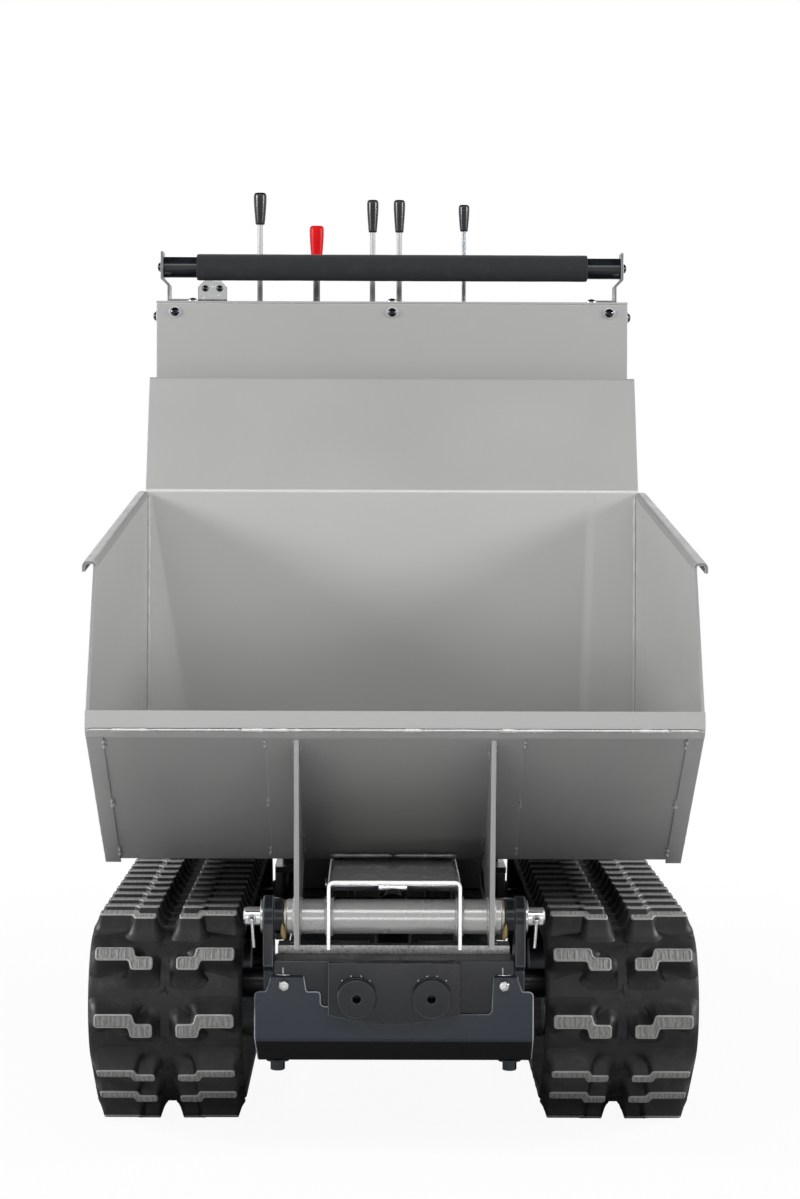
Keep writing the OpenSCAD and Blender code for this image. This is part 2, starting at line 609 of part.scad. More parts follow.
// engine and hydraulics
module engine_block() color("#6f7276") {
    box([-95, engine_y, deck_top + 0.2], [95, engine_y + 130, deck_top + 150]);
    both() box([80, engine_y + 10, deck_top + 0.2], [112, engine_y + 120, deck_top + 14]);
    translate([0, engine_y + 65, deck_top + 149]) cylinder(h = 76, r = 42);
    for (i = [0:6]) let (z = deck_top + 155 + 10 * i)
        box([-64, engine_y + 8, z], [64, engine_y + 122, z + 4]);
    box([-56, engine_y + 14, deck_top + 224], [56, engine_y + 116, deck_top + 246]);
    bar_x(56 - 1, 96, 11, engine_y + 65, deck_top + 234);
}
module recoil_cover() color("#2a2c2e") difference() {
    union() {
        bar_y(engine_y + 130.2, engine_y + 168, 96, 0, crank_z);
        bar_y(engine_y + 167, engine_y + 182, 74, 0, crank_z);
        box([54, engine_y + 140, crank_z + 58], [92, engine_y + 176, crank_z + 82]);
    }
    for (i = [0:11]) translate([0, 0, crank_z]) rotate([0, 30 * i, 0])
        box([34, engine_y + 150, -5], [62, engine_y + 200, 5]);
    bar_y(engine_y + 174, engine_y + 200, 18, 0, crank_z);
}
module muffler() color("#8c8378") difference() {
    union() {
        box([96.2, engine_y + 20, deck_top + 196], [196, engine_y + 112, deck_top + 280]);
        bar_y(engine_y + 111, engine_y + 146, 12, 150, deck_top + 238);
    }
    bar_y(engine_y + 120, engine_y + 150, 9, 150, deck_top + 238);
    for (i = [0:5]) let (z = deck_top + 208 + 11 * i)
        box([190, engine_y + 32, z], [200, engine_y + 100, z + 5]);
}
module fuel_tank() color("#1f2123") {
    box([-105, engine_y - 4, deck_top + 262], [90, engine_y + 134, deck_top + 340]);
    box([-80, engine_y + 20, deck_top + 246.2], [50, engine_y + 110, deck_top + 263]);
    translate([-40, engine_y + 65, deck_top + 339]) cylinder(h = 13, r = 20);
}
module fuel_cap() color("#1a1b1c") translate([-40, engine_y + 65, deck_top + 340.4]) difference() {
    union() {
        cylinder(h = 22, r = 29);
        for (i = [0:11]) rotate([0, 0, 30 * i]) translate([28.5, -3, 0]) cube([3, 6, 20]);
    }
    translate([0, 0, -1]) cylinder(h = 14, r = 20.3);
}
module hydraulic_tank() color("#34383d") {
    box([-tank_out, panel_y + 6, cradle_top + 0.2], [-tank_in, rear_y - 24, cradle_top + 220]);
    translate([-(tank_out + tank_in) / 2, rear_y - 90, cradle_top + 219]) cylinder(h = 26, r = 27);
    bar_x(-tank_in - 1, -tank_in + 14, 12, panel_y + 60, cradle_top + 30);
}
module hydraulic_pump() color("#9a9da0") {
    bar_y(engine_y - 44, engine_y - 0.2, 44, 0, crank_z);
    box([-42, engine_y - 112, crank_z - 38], [42, engine_y - 43, crank_z + 38]);
    both() bar_x(41, 54, 13, engine_y - 78, crank_z);
}
module valve_bank() color("#75787b") {
    // drive valve and tip valve blocks, held on a shelf
    box([-66, shaft_y - 42, shaft_z - 130], [52, shaft_y + 42, shaft_z - 50]);
    box([-234, shaft_y - 42, shaft_z - 130], [-162, shaft_y + 42, shaft_z - 50]);
    shelf_x = console_w / 2 - console_t - 0.2;
    box([-shelf_x, shaft_y - 50, shaft_z - 136], [shelf_x, shaft_y + 50, shaft_z - 129.8]);
    // lever shaft and the brackets that hang it from the top plate
    bar_x(-246, 158, shaft_r, shaft_y, shaft_z);
    for (x = [-246, 150]) difference() {
        box([x, shaft_y - 22, shaft_z - 22], [x + 8, shaft_y + 22, console_z - console_t - 0.2]);
        bar_x(x - 1, x + 9, shaft_r - 0.5, shaft_y, shaft_z);
    }
}
// a hose: round rings set along a smooth line through the given points
function bend(p, i, t) = let (n = len(p) - 1,
    a = p[max(i - 1, 0)], b = p[i], c = p[min(i + 1, n)], d = p[min(i + 2, n)])
    0.5 * (2 * b + (c - a) * t + (2 * a - 5 * b + 4 * c - d) * t * t + (3 * b - a - 3 * c + d) * t * t * t);
function smooth(p) = concat([for (i = [0:len(p) - 2]) for (k = [0:5]) bend(p, i, k / 6)], [p[len(p) - 1]]);
function unit(v) = v / norm(v);
module hose(p, r) {
    q = smooth(p);
    n = len(q) - 1;
    m = 10;
    ring = [for (i = [0:n]) let (d = unit(q[min(i + 1, n)] - q[max(i - 1, 0)]),
        ref = [0.31, 0.83, 0.46], u = unit(cross(d, ref)), v = cross(d, u))
        for (k = [0:m - 1]) q[i] + r * (cos(360 * k / m) * u + sin(360 * k / m) * v)];
    side = [for (i = [0:n - 1]) for (k = [0:m - 1])
        [i * m + k, i * m + (k + 1) % m, (i + 1) * m + (k + 1) % m, (i + 1) * m + k]];
    polyhedron(ring, concat([[for (k = [m - 1:-1:0]) k]], side, [[for (k = [0:m - 1]) n * m + k]]));
}
module hydraulic_hoses() color("#1c1d1e") {
    pump_y = engine_y - 78;
    low = shaft_z - 136.3;
    // pressure line from the pump to the drive valve
    hose([[54.3, pump_y, crank_z], [66, pump_y, crank_z], [78, pump_y, crank_z],
        [102, pump_y + 16, crank_z + 50], [106, panel_y + 18, crank_z + 105],
        [108, panel_y + 26, crank_z + 200], [90, panel_y + 36, low - 140], [30, shaft_y - 20, low - 64],
        [30, shaft_y - 20, low - 32], [30, shaft_y - 20, low]], 8);
    // suction line from the oil tank to the pump
    hose([[-54.3, pump_y, crank_z], [-66, pump_y, crank_z], [-80, pump_y, crank_z],
        [-96, pump_y + 30, crank_z + 20], [-110, panel_y + 20, crank_z + 20],
        [-tank_in + 54, panel_y + 60, cradle_top + 30], [-tank_in + 34, panel_y + 60, cradle_top + 30],
        [-tank_in + 14.4, panel_y + 60, cradle_top + 30]], 9);
    // drive lines from the motors up to the valve shelf
    both() hose([[100, sprocket_y + 39.4, wheel_z + 34.4], [100, sprocket_y + 45, wheel_z + 39.2],
        [102, sprocket_y + 52, wheel_z + 44], [126, sprocket_y + 82, wheel_z + 40],
        [135, sprocket_y + 93, deck_z + 6], [135, sprocket_y + 93, deck_top + 60],
        [188, sprocket_y + 98, deck_top + 160], [188, sprocket_y + 98, low - 160],
        [140, shaft_y + 30, low - 64], [140, shaft_y + 30, low - 32], [140, shaft_y + 30, low]], 7);
}
module drive_motors() color("#34383d") both() difference() {
    union() {
        bar_x(62, motor_x - 11, 52, sprocket_y, wheel_z);
        bar_x(52, 63, 40, sprocket_y, wheel_z);
        box([motor_x - 12, sprocket_y - 56, wheel_z - 56], [motor_x, sprocket_y + 56, wheel_z + 56]);
        bar_x(motor_x - 1, motor_x + 5, 26, sprocket_y, wheel_z);
    }
    bar_x(106, motor_x + 10, 14 + run_gap, sprocket_y, wheel_z);
}

// console
module console_front_panel() color("#a8a8a8") difference() {
    w = console_w / 2;
    union() {
        box([-w, panel_y, cradle_top + 0.2], [w, panel_y + console_t, console_z - console_t - 0.2]);
        both() box([w - console_t, panel_y + console_t - e, cradle_top + 0.2],
            [w, panel_y + 24, console_z - console_t - 0.2]);
    }
    box([-125, panel_y - 1, cradle_top - 1], [125, panel_y + console_t + 1, 520]);
}
module console_housing() color("#a8a8a8") difference() {
    w = console_w / 2;
    y0 = panel_y + 24.2;
    union() {
        both() box([w - console_t, y0, cradle_top + 0.2], [w, rear_y, console_z - console_t - 0.2]);
        box([-w, rear_y - console_t, 640], [w, rear_y, console_z - console_t - 0.2]);
    }
    for (i = [0:6]) box([-w - 1, y0 + 50, 420 + 28 * i], [w + 1, rear_y - 60, 430 + 28 * i]);
}
module console_top_plate() color("#a8a8a8") difference() {
    w = console_w / 2;
    box([-w, panel_y, console_z - console_t], [w, rear_y, console_z]);
    for (x = lever_x) box([x - 9, shaft_y - 48, console_z - 10], [x + 9, shaft_y + 48, console_z + 10]);
}
module console_bolts() color("#b4b6b8") {
    bolt_x = console_w / 2 - 27;
    for (x = [-bolt_x, 0, bolt_x]) {
        hex_y(x, panel_y - 5, panel_y - 0.1, console_z - 16, 13);
        hex_z(x * 0.92, panel_y + 12, console_z + 0.1, console_z + 6, 13);
    }
    both() translate([console_w / 2 + 0.1, panel_y + 12, console_z - 22]) rotate([0, 90, 0])
        cylinder(h = 5, r = 13 / sqrt(3), $fn = 6);
    both() hex_x_end();
}
module hex_x_end() translate([plate_x + 0.1, bar_y, bar_z]) rotate([0, 90, 0])
    cylinder(h = 6, r = 17 / sqrt(3), $fn = 6);
module handle_tube() color("#2b2c2e") bar_x(-plate_x + 4.1, plate_x - 4.1, bar_r, bar_y, bar_z);
module foam_grip() color("#282a2c") difference() {
    bar_x(-foam_l / 2, foam_l / 2, foam_r, bar_y, bar_z);
    bar_x(-foam_l, foam_l, bar_r + run_gap, bar_y, bar_z);
}
module handle_brackets() color("#3a3c3f") both() translate([0, bar_y + 20, 0]) rotate([90, 0, 0])
    linear_extrude(40) polygon(folded([[plate_x - 46, console_z + 0.1], [plate_x - 10, console_z + 0.1],
        [plate_x - 10, console_z + 24], [plate_x, console_z + 34], [plate_x, bar_z + 22]], 4));
module latch_bracket() color("#d9dadb") difference() {
    latch_x = -console_w / 2 + 59;
    union() {
        box([latch_x, bar_y - 12, console_z + 0.1], [latch_x + 43, bar_y + 16, console_z + 3]);
        box([latch_x, bar_y - 12, console_z + 0.1], [latch_x + 43, bar_y - 9, bar_z - foam_r - 1]);
    }
    for (x = [11, 32]) bar_y(bar_y - 20, bar_y, 4, latch_x + x, console_z + 20);
}

// levers: a hub on the shaft, a rod through the top plate and a grip on the rod
module lever(i, d) {
    difference() {
        union() {
            bar_x(lever_x[i] - 12, lever_x[i] + 12, hub_r, shaft_y, shaft_z);
            translate([lever_x[i], shaft_y, shaft_z + hub_r - 3])
                cylinder(h = lever_top[i] - 4 - shaft_z - hub_r + 3, r = d / 2);
            translate([lever_x[i], shaft_y, shaft_z - 40]) cylinder(h = 40, r = 5);
        }
        bar_x(lever_x[i] - 20, lever_x[i] + 20, shaft_r + run_gap, shaft_y, shaft_z);
    }
}
module grip(i, d) translate([lever_x[i], shaft_y, lever_top[i]]) rotate_extrude() {
    r = grip_w[i] / 2;
    l = grip_l[i];
    polygon([[0, 0], [r * 0.72, 0], [r * 0.94, -2], [r, -5], [r * 0.98, -12],
        [r * 0.72, -l + 3], [r * 0.66, -l], [d / 2 + 0.03, -l], [d / 2 + 0.03, -3.9], [0, -3.9]]);
}
module tip_lever() color("#c4c6c8") lever(0, lever_d);
module tip_grip() color("#1d1e20") grip(0, lever_d);
module red_lever() color("#4a4c4e") lever(1, lever_d + 2);
module red_grip() color("#c81e23") grip(1, lever_d + 2);
module drive_lever_left() color("#c4c6c8") lever(2, lever_d);
module drive_grip_left() color("#1d1e20") grip(2, lever_d);
module drive_lever_right() color("#c4c6c8") lever(3, lever_d);
module drive_grip_right() color("#1d1e20") grip(3, lever_d);
module speed_lever() color("#c4c6c8") lever(4, lever_d - 2);
module speed_grip() color("#1d1e20") grip(4, lever_d - 2);

chassis_frame();
pivot_pin();
pivot_washers();
split_pins();
rest_plate();
front_bumper();
hex_bolts();
coupling_bracket();
track_frames();
track_left();
track_right();
idler_yokes();
engine_block();
recoil_cover();
muffler();
fuel_tank();
fuel_cap();
hydraulic_tank();
hydraulic_pump();
valve_bank();
hydraulic_hoses();
drive_motors();
console_front_panel();
console_housing();
console_top_plate();
console_bolts();
handle_tube();
foam_grip();
handle_brackets();
latch_bracket();
sprocket_left();
sprocket_right();
idler_left();
idler_right();
roller_left_1();
roller_left_2();
roller_left_3();
roller_right_1();
roller_right_2();
roller_right_3();
tip_lever();
tip_grip();
red_lever();
red_grip();
drive_lever_left();
drive_grip_left();
drive_lever_right();
drive_grip_right();
speed_lever();
speed_grip();
skip_tub();
skip_lip();
skip_gussets();
skip_channel();
skip_pivot_tube();
skip_doublers();
pivot_bushes();
ram_upper_pin();
ram_barrel();
ram_rod();
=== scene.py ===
"""Looks of a tracked power carrier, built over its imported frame. Lengths in the forms are millimetres."""
import json
import math
import random

import bmesh
import bpy
from mathutils import Matrix, Vector


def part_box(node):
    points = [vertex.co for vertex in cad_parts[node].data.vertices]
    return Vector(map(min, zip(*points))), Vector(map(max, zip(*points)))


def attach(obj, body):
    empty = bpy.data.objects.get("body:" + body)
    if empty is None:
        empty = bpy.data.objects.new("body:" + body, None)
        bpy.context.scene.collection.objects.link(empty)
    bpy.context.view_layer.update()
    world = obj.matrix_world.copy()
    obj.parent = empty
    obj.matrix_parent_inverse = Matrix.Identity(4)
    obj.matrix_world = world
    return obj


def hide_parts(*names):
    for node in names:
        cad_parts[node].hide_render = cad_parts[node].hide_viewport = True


bl_info = {
    "name": "Tracked power carrier",
    "version": (1, 0, 0),
    "blender": (4, 5, 0),
    "location": "View3D > Sidebar > Carrier",
    "description": "Dresses the solids of a tracked power carrier with finished pieces and materials",
    "category": "Object",
}

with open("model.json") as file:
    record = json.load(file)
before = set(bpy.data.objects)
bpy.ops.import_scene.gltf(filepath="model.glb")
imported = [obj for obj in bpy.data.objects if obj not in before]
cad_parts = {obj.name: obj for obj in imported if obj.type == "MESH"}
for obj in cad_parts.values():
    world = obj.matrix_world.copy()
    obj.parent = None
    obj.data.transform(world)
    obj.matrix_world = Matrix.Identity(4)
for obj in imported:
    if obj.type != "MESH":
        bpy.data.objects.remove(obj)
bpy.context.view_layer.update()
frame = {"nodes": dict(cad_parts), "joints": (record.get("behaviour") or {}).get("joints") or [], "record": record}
NODES = frame["nodes"]
BODY_OF = {n: b for b, names in frame["record"]["behaviour"]["bodies"].items() for n in names}
AXLE = {j["name"]: Vector(j["pos_m"]) * 1000 for j in frame["joints"] if "pos_m" in j}
MM = 0.001
SIDES = {-1: "left", 1: "right"}
LEVERS = ("tip", "red", "drive_left", "drive_right", "speed")


def span(node):
    """Lowest and highest corner of a solid, in millimetres."""
    low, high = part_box(node)
    return low * 1000, high * 1000


# Places read from the solids
LIP_LOW, LIP_HIGH = span("skip_lip")
TUB_LOW, TUB_HIGH = span("skip_tub")
TUBE_LOW, TUBE_HIGH = span("skip_pivot_tube")
PLATE_HIGH = span("console_top_plate")[1]
HALF = LIP_HIGH.x
LIP_Y, LIP_Z = LIP_LOW.y, LIP_HIGH.z
FLOOR_Z, HEAD_Z = TUB_LOW.z, TUB_HIGH.z
PIVOT = AXLE["skip_tip"]
PANEL_Y = span("console_front_panel")[0].y
CONSOLE_W, CONSOLE_Z = PLATE_HIGH.x, PLATE_HIGH.z
BAR = (span("handle_tube")[0] + span("handle_tube")[1]) / 2
SHAFT = AXLE["tip_lever_swing"]
DECK = span("engine_block")[0].z - 0.2
ENGINE_Y = span("engine_block")[0].y
# Folds of the skip's outer face as (y, z), set back from the lip
SHEET = 4.0
FOLD_Z = 763.0
BACK_Y = LIP_Y + 929
HEAD_Y = LIP_Y + 1006
WALL_TOP = Vector((LIP_Y + 8, LIP_Z - 24))
WALL_LOW = Vector((LIP_Y + 275, FLOOR_Z))
RIM_FRONT = Vector((LIP_Y + 105, 679.0))
RIM_BACK = Vector((BACK_Y, FOLD_Z))
WALL_DIR = (WALL_LOW - WALL_TOP).normalized()
WALL_OUT = Vector((WALL_DIR.y, -WALL_DIR.x))
WALL_L = (WALL_LOW - WALL_TOP).length
# Where welding has drawn the back wall in: shares of the drawn width with the depth there,
# and that width at the floor and at the fold. The right side ends in a step.
DRAWN = {-1: [(0, 15), (0.2, 11), (0.4, 7.4), (0.6, 4.2), (0.8, 1.6), (0.9, 0.5), (1, 0)],
         1: [(0, 11), (0.3, 8.9), (0.6, 6.8), (0.88, 4.9), (0.94, 4.2), (1, 2.3), (1.06, 0.6), (1.12, 0)]}
DRAWN_WIDTHS = {-1: (92, 8), 1: (80, 66)}
# Dents of the side walls: place along the wall and half width
DENTS = {-1: ((-320, 16), (107, 14)), 1: ((-450, 15), (60, 22))}
DENT_DEPTH = 1.5
# Belt: links, their pitch, the place of the lug rows, and heights from the belt's middle line
LINKS = 40
PITCH = 60.0
ROW_PHASE = 0.17
LUG_SHIFT = 4.2
LUG_H = 20.0
FACE = 7.0
WINDOW_STEPS = (21, 27, 33)
LINK_STEPS = (0, 7, 14, *WINDOW_STEPS, 39, 46, 53)


def linear(code):
    """An sRGB hex colour as linear red, green and blue."""
    parts = [int(code[i:i + 2], 16) / 255 for i in (1, 3, 5)]
    return [c / 12.92 if c <= 0.04045 else ((c + 0.055) / 1.055) ** 2.4 for c in parts]


def colour_property(label, words, code):
    """A colour that a user may change, given as an sRGB hex value."""
    return bpy.props.FloatVectorProperty(name=label, description=words, subtype="COLOR", size=3, min=0, max=1,
                                         default=linear(code))


def length_property(label, words, millimetres):
    """A length that a user may change, given in millimetres."""
    return bpy.props.FloatProperty(name=label, description=words, subtype="DISTANCE", unit="LENGTH",
                                   default=millimetres * MM, min=0.00005, max=0.05)


class CarrierColours(bpy.types.PropertyGroup):
    """Colours of the carrier's finishes."""
    skip: colour_property("Skip", "Flake enamel of the skip", "#B2B2B1")
    console: colour_property("Console", "Flake enamel of the console", "#969695")
    chassis: colour_property("Chassis", "Gloss enamel of the chassis", "#0F1216")
    bumper: colour_property("Bumper", "Gloss enamel of the bumper", "#262C35")
    rubber: colour_property("Rubber", "Belt rubber", "#1D1D1D")
    tread: colour_property("Tread", "Scuffed tops of the lugs", "#8A8A89")
    foam: colour_property("Foam", "Foam of the grab bar", "#212325")
    grip: colour_property("Grips", "Moulded grips of the levers", "#15171A")
    red_grip: colour_property("Red grip", "Moulded grip of the short lever", "#C2090F")
    tank: colour_property("Oil tank", "Enamel of the oil tank", "#34383D")


class CarrierSizes(bpy.types.PropertyGroup):
    """Sizes of the carrier's fine shapes."""
    sheet_edge: length_property("Sheet edge", "Rounding of cut sheet edges", 1.0)
    plate_edge: length_property("Plate edge", "Rounding of thick plate and tube edges", 1.6)
    bend: length_property("Bend", "Radius of the folds in the skip sheet", 9.0)
    weld: length_property("Weld", "Radius of a weld bead", 2.2)
    lug_border: length_property("Lug border", "Width of the raised border on a lug", 1.4)
    lug_sink: length_property("Lug sink", "Depth of the cells on top of a lug", 0.7)


def paint(name, share=1.0):
    """A colour of the scene's settings, in full or scaled by a share."""
    return [c * share for c in getattr(bpy.context.scene.carrier_colours, name)]


def size(name):
    """A size of the scene's settings, in millimetres."""
    return getattr(bpy.context.scene.carrier_sizes, name) * 1000


def add(tree, kind, sockets=None, **settings):
    """Adds a node, sets its options, and gives its sockets values or links."""
    node = tree.nodes.new(kind)
    for key, value in settings.items():
        setattr(node, key, value)
    for key, value in (sockets or {}).items():
        if isinstance(value, bpy.types.NodeSocket):
            tree.links.new(value, node.inputs[key])
        else:
            node.inputs[key].default_value = value
    return node


def emptied(owner):
    """The node tree of a material or world, without its nodes."""
    owner.use_nodes = True
    owner.node_tree.nodes.clear()
    return owner.node_tree


def finish(name, colour, tone=0.08, mottle=90, rough=(0.3, 0.4), grain=1.5, bump=0.03, metallic=0.0, coat=0.0,
           coat_rough=0.1, specular=0.5, worn=None, wear=0.6, thin=0.1, grime=None, dust=0.3,
           stretch=(1, 1, 1), cells=0, hatch=0, sheen=0.0):
    """A material from its colour, cloudy mottle, fine grain, edge wear (a painted highlight on the bumper) and
    grime. Sizes are millimetres.

    tone is the spread of the mottle, thin and wear are the least and most wear on an edge, dust is the most
    grime, and cells and hatch are the sizes of pores and scuffs.
    """
    material = bpy.data.materials.get(name)
    if material:
        return material
    material = bpy.data.materials.new(name)
    tree = emptied(material)
    place = add(tree, "ShaderNodeTexCoord").outputs["Object"]
    drawn = add(tree, "ShaderNodeMapping", {"Vector": place, "Scale": stretch}).outputs[0]
    cloud = add(tree, "ShaderNodeTexNoise", {
        "Vector": place, "Scale": 1000 / mottle, "Detail": 4.0}).outputs[0]
    height = add(tree, "ShaderNodeTexNoise", {
        "Vector": drawn, "Scale": 1000 / grain, "Detail": 3.0}).outputs[0]
    dark = (*(c * (1 - tone) for c in colour), 1)
    light = (*(min(1, c * (1 + tone)) for c in colour), 1)
    # layers laid over the dark tone in order, each as its share and colour
    layers = [(cloud, light)]
    if cells:
        pores = add(tree, "ShaderNodeTexVoronoi", {
            "Vector": place, "Scale": 1000 / cells}).outputs["Distance"]
        height = add(tree, "ShaderNodeMath", {0: height, 1: pores}, operation="ADD").outputs[0]
        layers.append((pores, light))
    if hatch:
        height = add(tree, "ShaderNodeTexWave", {
            "Vector": place, "Scale": 1000 / hatch / math.tau, "Distortion": 6.0, "Detail": 3.0,
            "Detail Scale": 2.0}).outputs["Fac"]
        layers.append((height, dark))
    if grime:
        patch = add(tree, "ShaderNodeTexNoise", {
            "Vector": place, "Scale": 1000 / (mottle * 0.35), "Detail": 8.0, "Roughness": 0.7}).outputs[0]
        share = add(tree, "ShaderNodeMapRange", {
            "Value": patch, "From Min": 0.5, "From Max": 0.75, "To Min": 0.0, "To Max": dust}).outputs[0]
        layers.append((share, (*linear(grime), 1)))
    if worn:
        edge = add(tree, "ShaderNodeAttribute", attribute_name="edge").outputs["Fac"]
        chip = add(tree, "ShaderNodeMapRange", {
            "Value": cloud, "From Min": 0.42, "From Max": 0.62, "To Min": thin, "To Max": wear}).outputs[0]
        share = add(tree, "ShaderNodeMath", {0: edge, 1: chip}, operation="MULTIPLY").outputs[0]
        layers.append((share, (*linear(worn), 1)))
    base = dark
    for share, over in layers:
        base = add(tree, "ShaderNodeMix", {0: share, 6: base, 7: over}, data_type="RGBA").outputs[2]
    gloss = add(tree, "ShaderNodeMapRange", {
        "Value": cloud, "From Min": 0.3, "From Max": 0.7, "To Min": rough[0], "To Max": rough[1]}).outputs[0]
    normal = add(tree, "ShaderNodeBump", {
        "Height": height, "Strength": 1.0, "Distance": bump * MM}).outputs[0]
    shader = add(tree, "ShaderNodeBsdfPrincipled", {
        "Base Color": base, "Metallic": metallic, "Roughness": gloss, "Normal": normal, "Coat Weight": coat,
        "Coat Roughness": coat_rough, "Specular IOR Level": specular, "Sheen Weight": sheen})
    add(tree, "ShaderNodeOutputMaterial", {"Surface": shader.outputs[0]})
    return material


def flake_enamel(name, colour):
    """Polyester enamel with aluminium flake, sprayed and baked: blurred reflections, faint orange peel."""
    return finish(name, colour, tone=0.03, mottle=220, rough=(0.33, 0.38), grain=7, bump=0.003,
                  metallic=0.38, coat=0.3, coat_rough=0.1, worn="#E2E2E0", wear=0.3)


def skip_enamel():
    """The skip's silver flake enamel."""
    return flake_enamel("silver_flake_enamel", paint("skip"))


def console_enamel():
    """The console's silver flake enamel: the skip's paint laid a little darker, as painted shade."""
    return flake_enamel("console_flake_enamel", paint("console"))


def rim_enamel():
    """The skip's enamel on the rims, dulled by hands and loads."""
    return finish("dulled_flake_enamel", paint("skip", 0.62), tone=0.06, mottle=60, rough=(0.45, 0.55),
                  grain=3, bump=0.01, metallic=0.25, specular=0.2, worn="#C8C8C6", wear=0.4)


def outer_shaded_enamel():
    """The skip's enamel outside, satin from overspray and dust, and laid darker: painted shade on the faces turned
    down and out. Tones run softly into each other.
    """
    return finish("satin_flake_enamel", paint("skip", 0.82), tone=0.05, mottle=130, rough=(0.34, 0.42),
                  grain=4, bump=0.006, metallic=0.3, coat=0.15, coat_rough=0.2, worn="#C4C4C2", wear=0.35)


def thick_enamel(name, share):
    """Silver enamel laid thick: a satin body under a wet film that draws one thin highlight."""
    return finish(name, paint("skip", share), tone=0.05, mottle=60, rough=(0.24, 0.3), grain=4, bump=0.004,
                  metallic=0.42, coat=0.8, coat_rough=0.12)


def channel_lit_enamel():
    """Thick enamel on the channel, laid paler than the skip's: painted light on a plate that sits in the skip's
    shade.
    """
    return thick_enamel("clean_silver_enamel", 1.3)


def tube_enamel():
    """Thick enamel on the pivot tube: a little darker, so that its one highlight shows."""
    return thick_enamel("thick_silver_enamel", 0.9)


def weld_enamel():
    """Silver enamel pooled over weld ripples: wetter and paler than on the flat sheet."""
    return finish("silver_enamel_on_welds", linear("#B2B2B1"), tone=0.08, mottle=9, rough=(0.2, 0.3),
                  grain=1.6, bump=0.06, metallic=0.35, coat=0.6, coat_rough=0.05)


def gloss_enamel(name, colour, worn="#767C84", wear=0.5, thin=0.1):
    """Thick gloss enamel over blasted steel: dark, wet reflections, chipped to primer along the edges. On the
    bumper the pale edges are a painted highlight instead.
    """
    return finish(name, colour, tone=0.14, mottle=70, rough=(0.24, 0.36), grain=5, bump=0.02, coat=0.1,
                  specular=0.24, worn=worn, wear=wear, thin=thin, grime="#2E3032", dust=0.12)


def chassis_enamel():
    """The chassis's dark gloss enamel."""
    return gloss_enamel("dark_gloss_enamel", paint("chassis"))


def bumper_enamel():
    """The bumper's blue-grey gloss enamel, pale along its rounded edges: a painted highlight, laid as edge wear.
    """
    return gloss_enamel("bumper_gloss_enamel", paint("bumper"), worn="#AEB4BC", wear=0.85, thin=0.15)


def tank_enamel():
    """The oil tank's gloss enamel."""
    return gloss_enamel("tank_gloss_enamel", paint("tank"))


def underside_shade():
    """Gloss enamel under the bumper's bend, laid near-black: painted shade where the sheet turns down away from
    the light, with a mottle of grime.
    """
    return finish("oily_road_film", linear("#0D0E10"), tone=0.25, mottle=30, rough=(0.5, 0.65), grain=2.0,
                  bump=0.03, specular=0.12, worn="#33363A", wear=0.4, grime="#1A1A1A", dust=0.3)


def bar_enamel():
    """Black stove enamel on the grab bar: deep gloss with a sharp highlight."""
    return finish("black_stove_enamel", linear("#15181C"), tone=0.15, mottle=40, rough=(0.14, 0.22), grain=5,
                  bump=0.01, coat=0.1, coat_rough=0.06, specular=0.4, worn="#4B4F55", wear=0.4)


def belt_rubber():
    """Carbon-filled track rubber from a mould: matt black with a grey bloom and mould marks."""
    return finish("moulded_track_rubber", paint("rubber"), tone=0.25, mottle=38, rough=(0.42, 0.62),
                  grain=2.2, bump=0.10, specular=0.32, worn="#5A5A59", wear=0.7, grime="#4A4A48", dust=0.30)


def scuffed_rubber():
    """Lug tops rubbed on concrete: grey with hatched scuffs, drawn at 3 mm, coarse enough to show."""
    return finish("scuffed_track_rubber", paint("tread"), tone=0.35, mottle=9, rough=(0.7, 0.85), grain=1.2,
                  bump=0.12, hatch=3.0, grime="#5A5A58", dust=0.5)


def lug_border():
    """The raised mould edge of a lug, rubbed paler than the cells inside it."""
    return finish("rubbed_rubber_edge", linear("#969694"), tone=0.2, mottle=12, rough=(0.65, 0.8), grain=1.0,
                  bump=0.06, grime="#6E6E6C", dust=0.5)


def slit_shade_rubber():
    """Slits in the tooth windows: near-black rubber that takes no light, painted shade for the openings."""
    return finish("torn_rubber_web", linear("#0C0C0C"), tone=0.2, mottle=8, rough=(0.8, 0.95), grain=1.0,
                  bump=0.1)


def hose_rubber():
    """Braid-wrapped hydraulic hose: matt black cover with the wrap's fine rib."""
    return finish("wrapped_hose_rubber", linear("#1B1C1D"), tone=0.18, mottle=16, rough=(0.5, 0.66),
                  grain=1.3, bump=0.10, grime="#3E3C38", dust=0.3)


def nitrile_foam():
    """Closed-cell nitrile foam sleeve: a matt, faintly dimpled skin with 1.6 mm cells."""
    return finish("nitrile_foam", paint("foam"), tone=0.14, mottle=55, rough=(0.82, 0.92), grain=1.1,
                  bump=0.16, cells=1.6, specular=0.2, sheen=0.08, grime="#46484A", dust=0.18)


def black_plastic():
    """Injection-moulded black plastic: a fine spark-eroded texture under a low sheen."""
    return finish("black_moulded_plastic", paint("grip"), tone=0.10, mottle=18, rough=(0.24, 0.32),
                  grain=0.9, bump=0.015, specular=0.32, worn="#4A4C4F", wear=0.35)


def red_plastic():
    """Injection-moulded plastic with red pigment: an even, satin red."""
    return finish("red_moulded_plastic", paint("red_grip"), tone=0.05, mottle=18, rough=(0.34, 0.44),
                  grain=1.0, bump=0.02, specular=0.12, worn="#D8353A", wear=0.4)


def dark_zinc():
    """Black-passivated zinc on screws: deep grey metal with sharp highlights."""
    return finish("black_passivated_zinc", linear("#3A3D40"), tone=0.12, mottle=8, rough=(0.12, 0.22),
                  grain=0.8, bump=0.01, metallic=1.0, worn="#B0B2B4", wear=0.5)


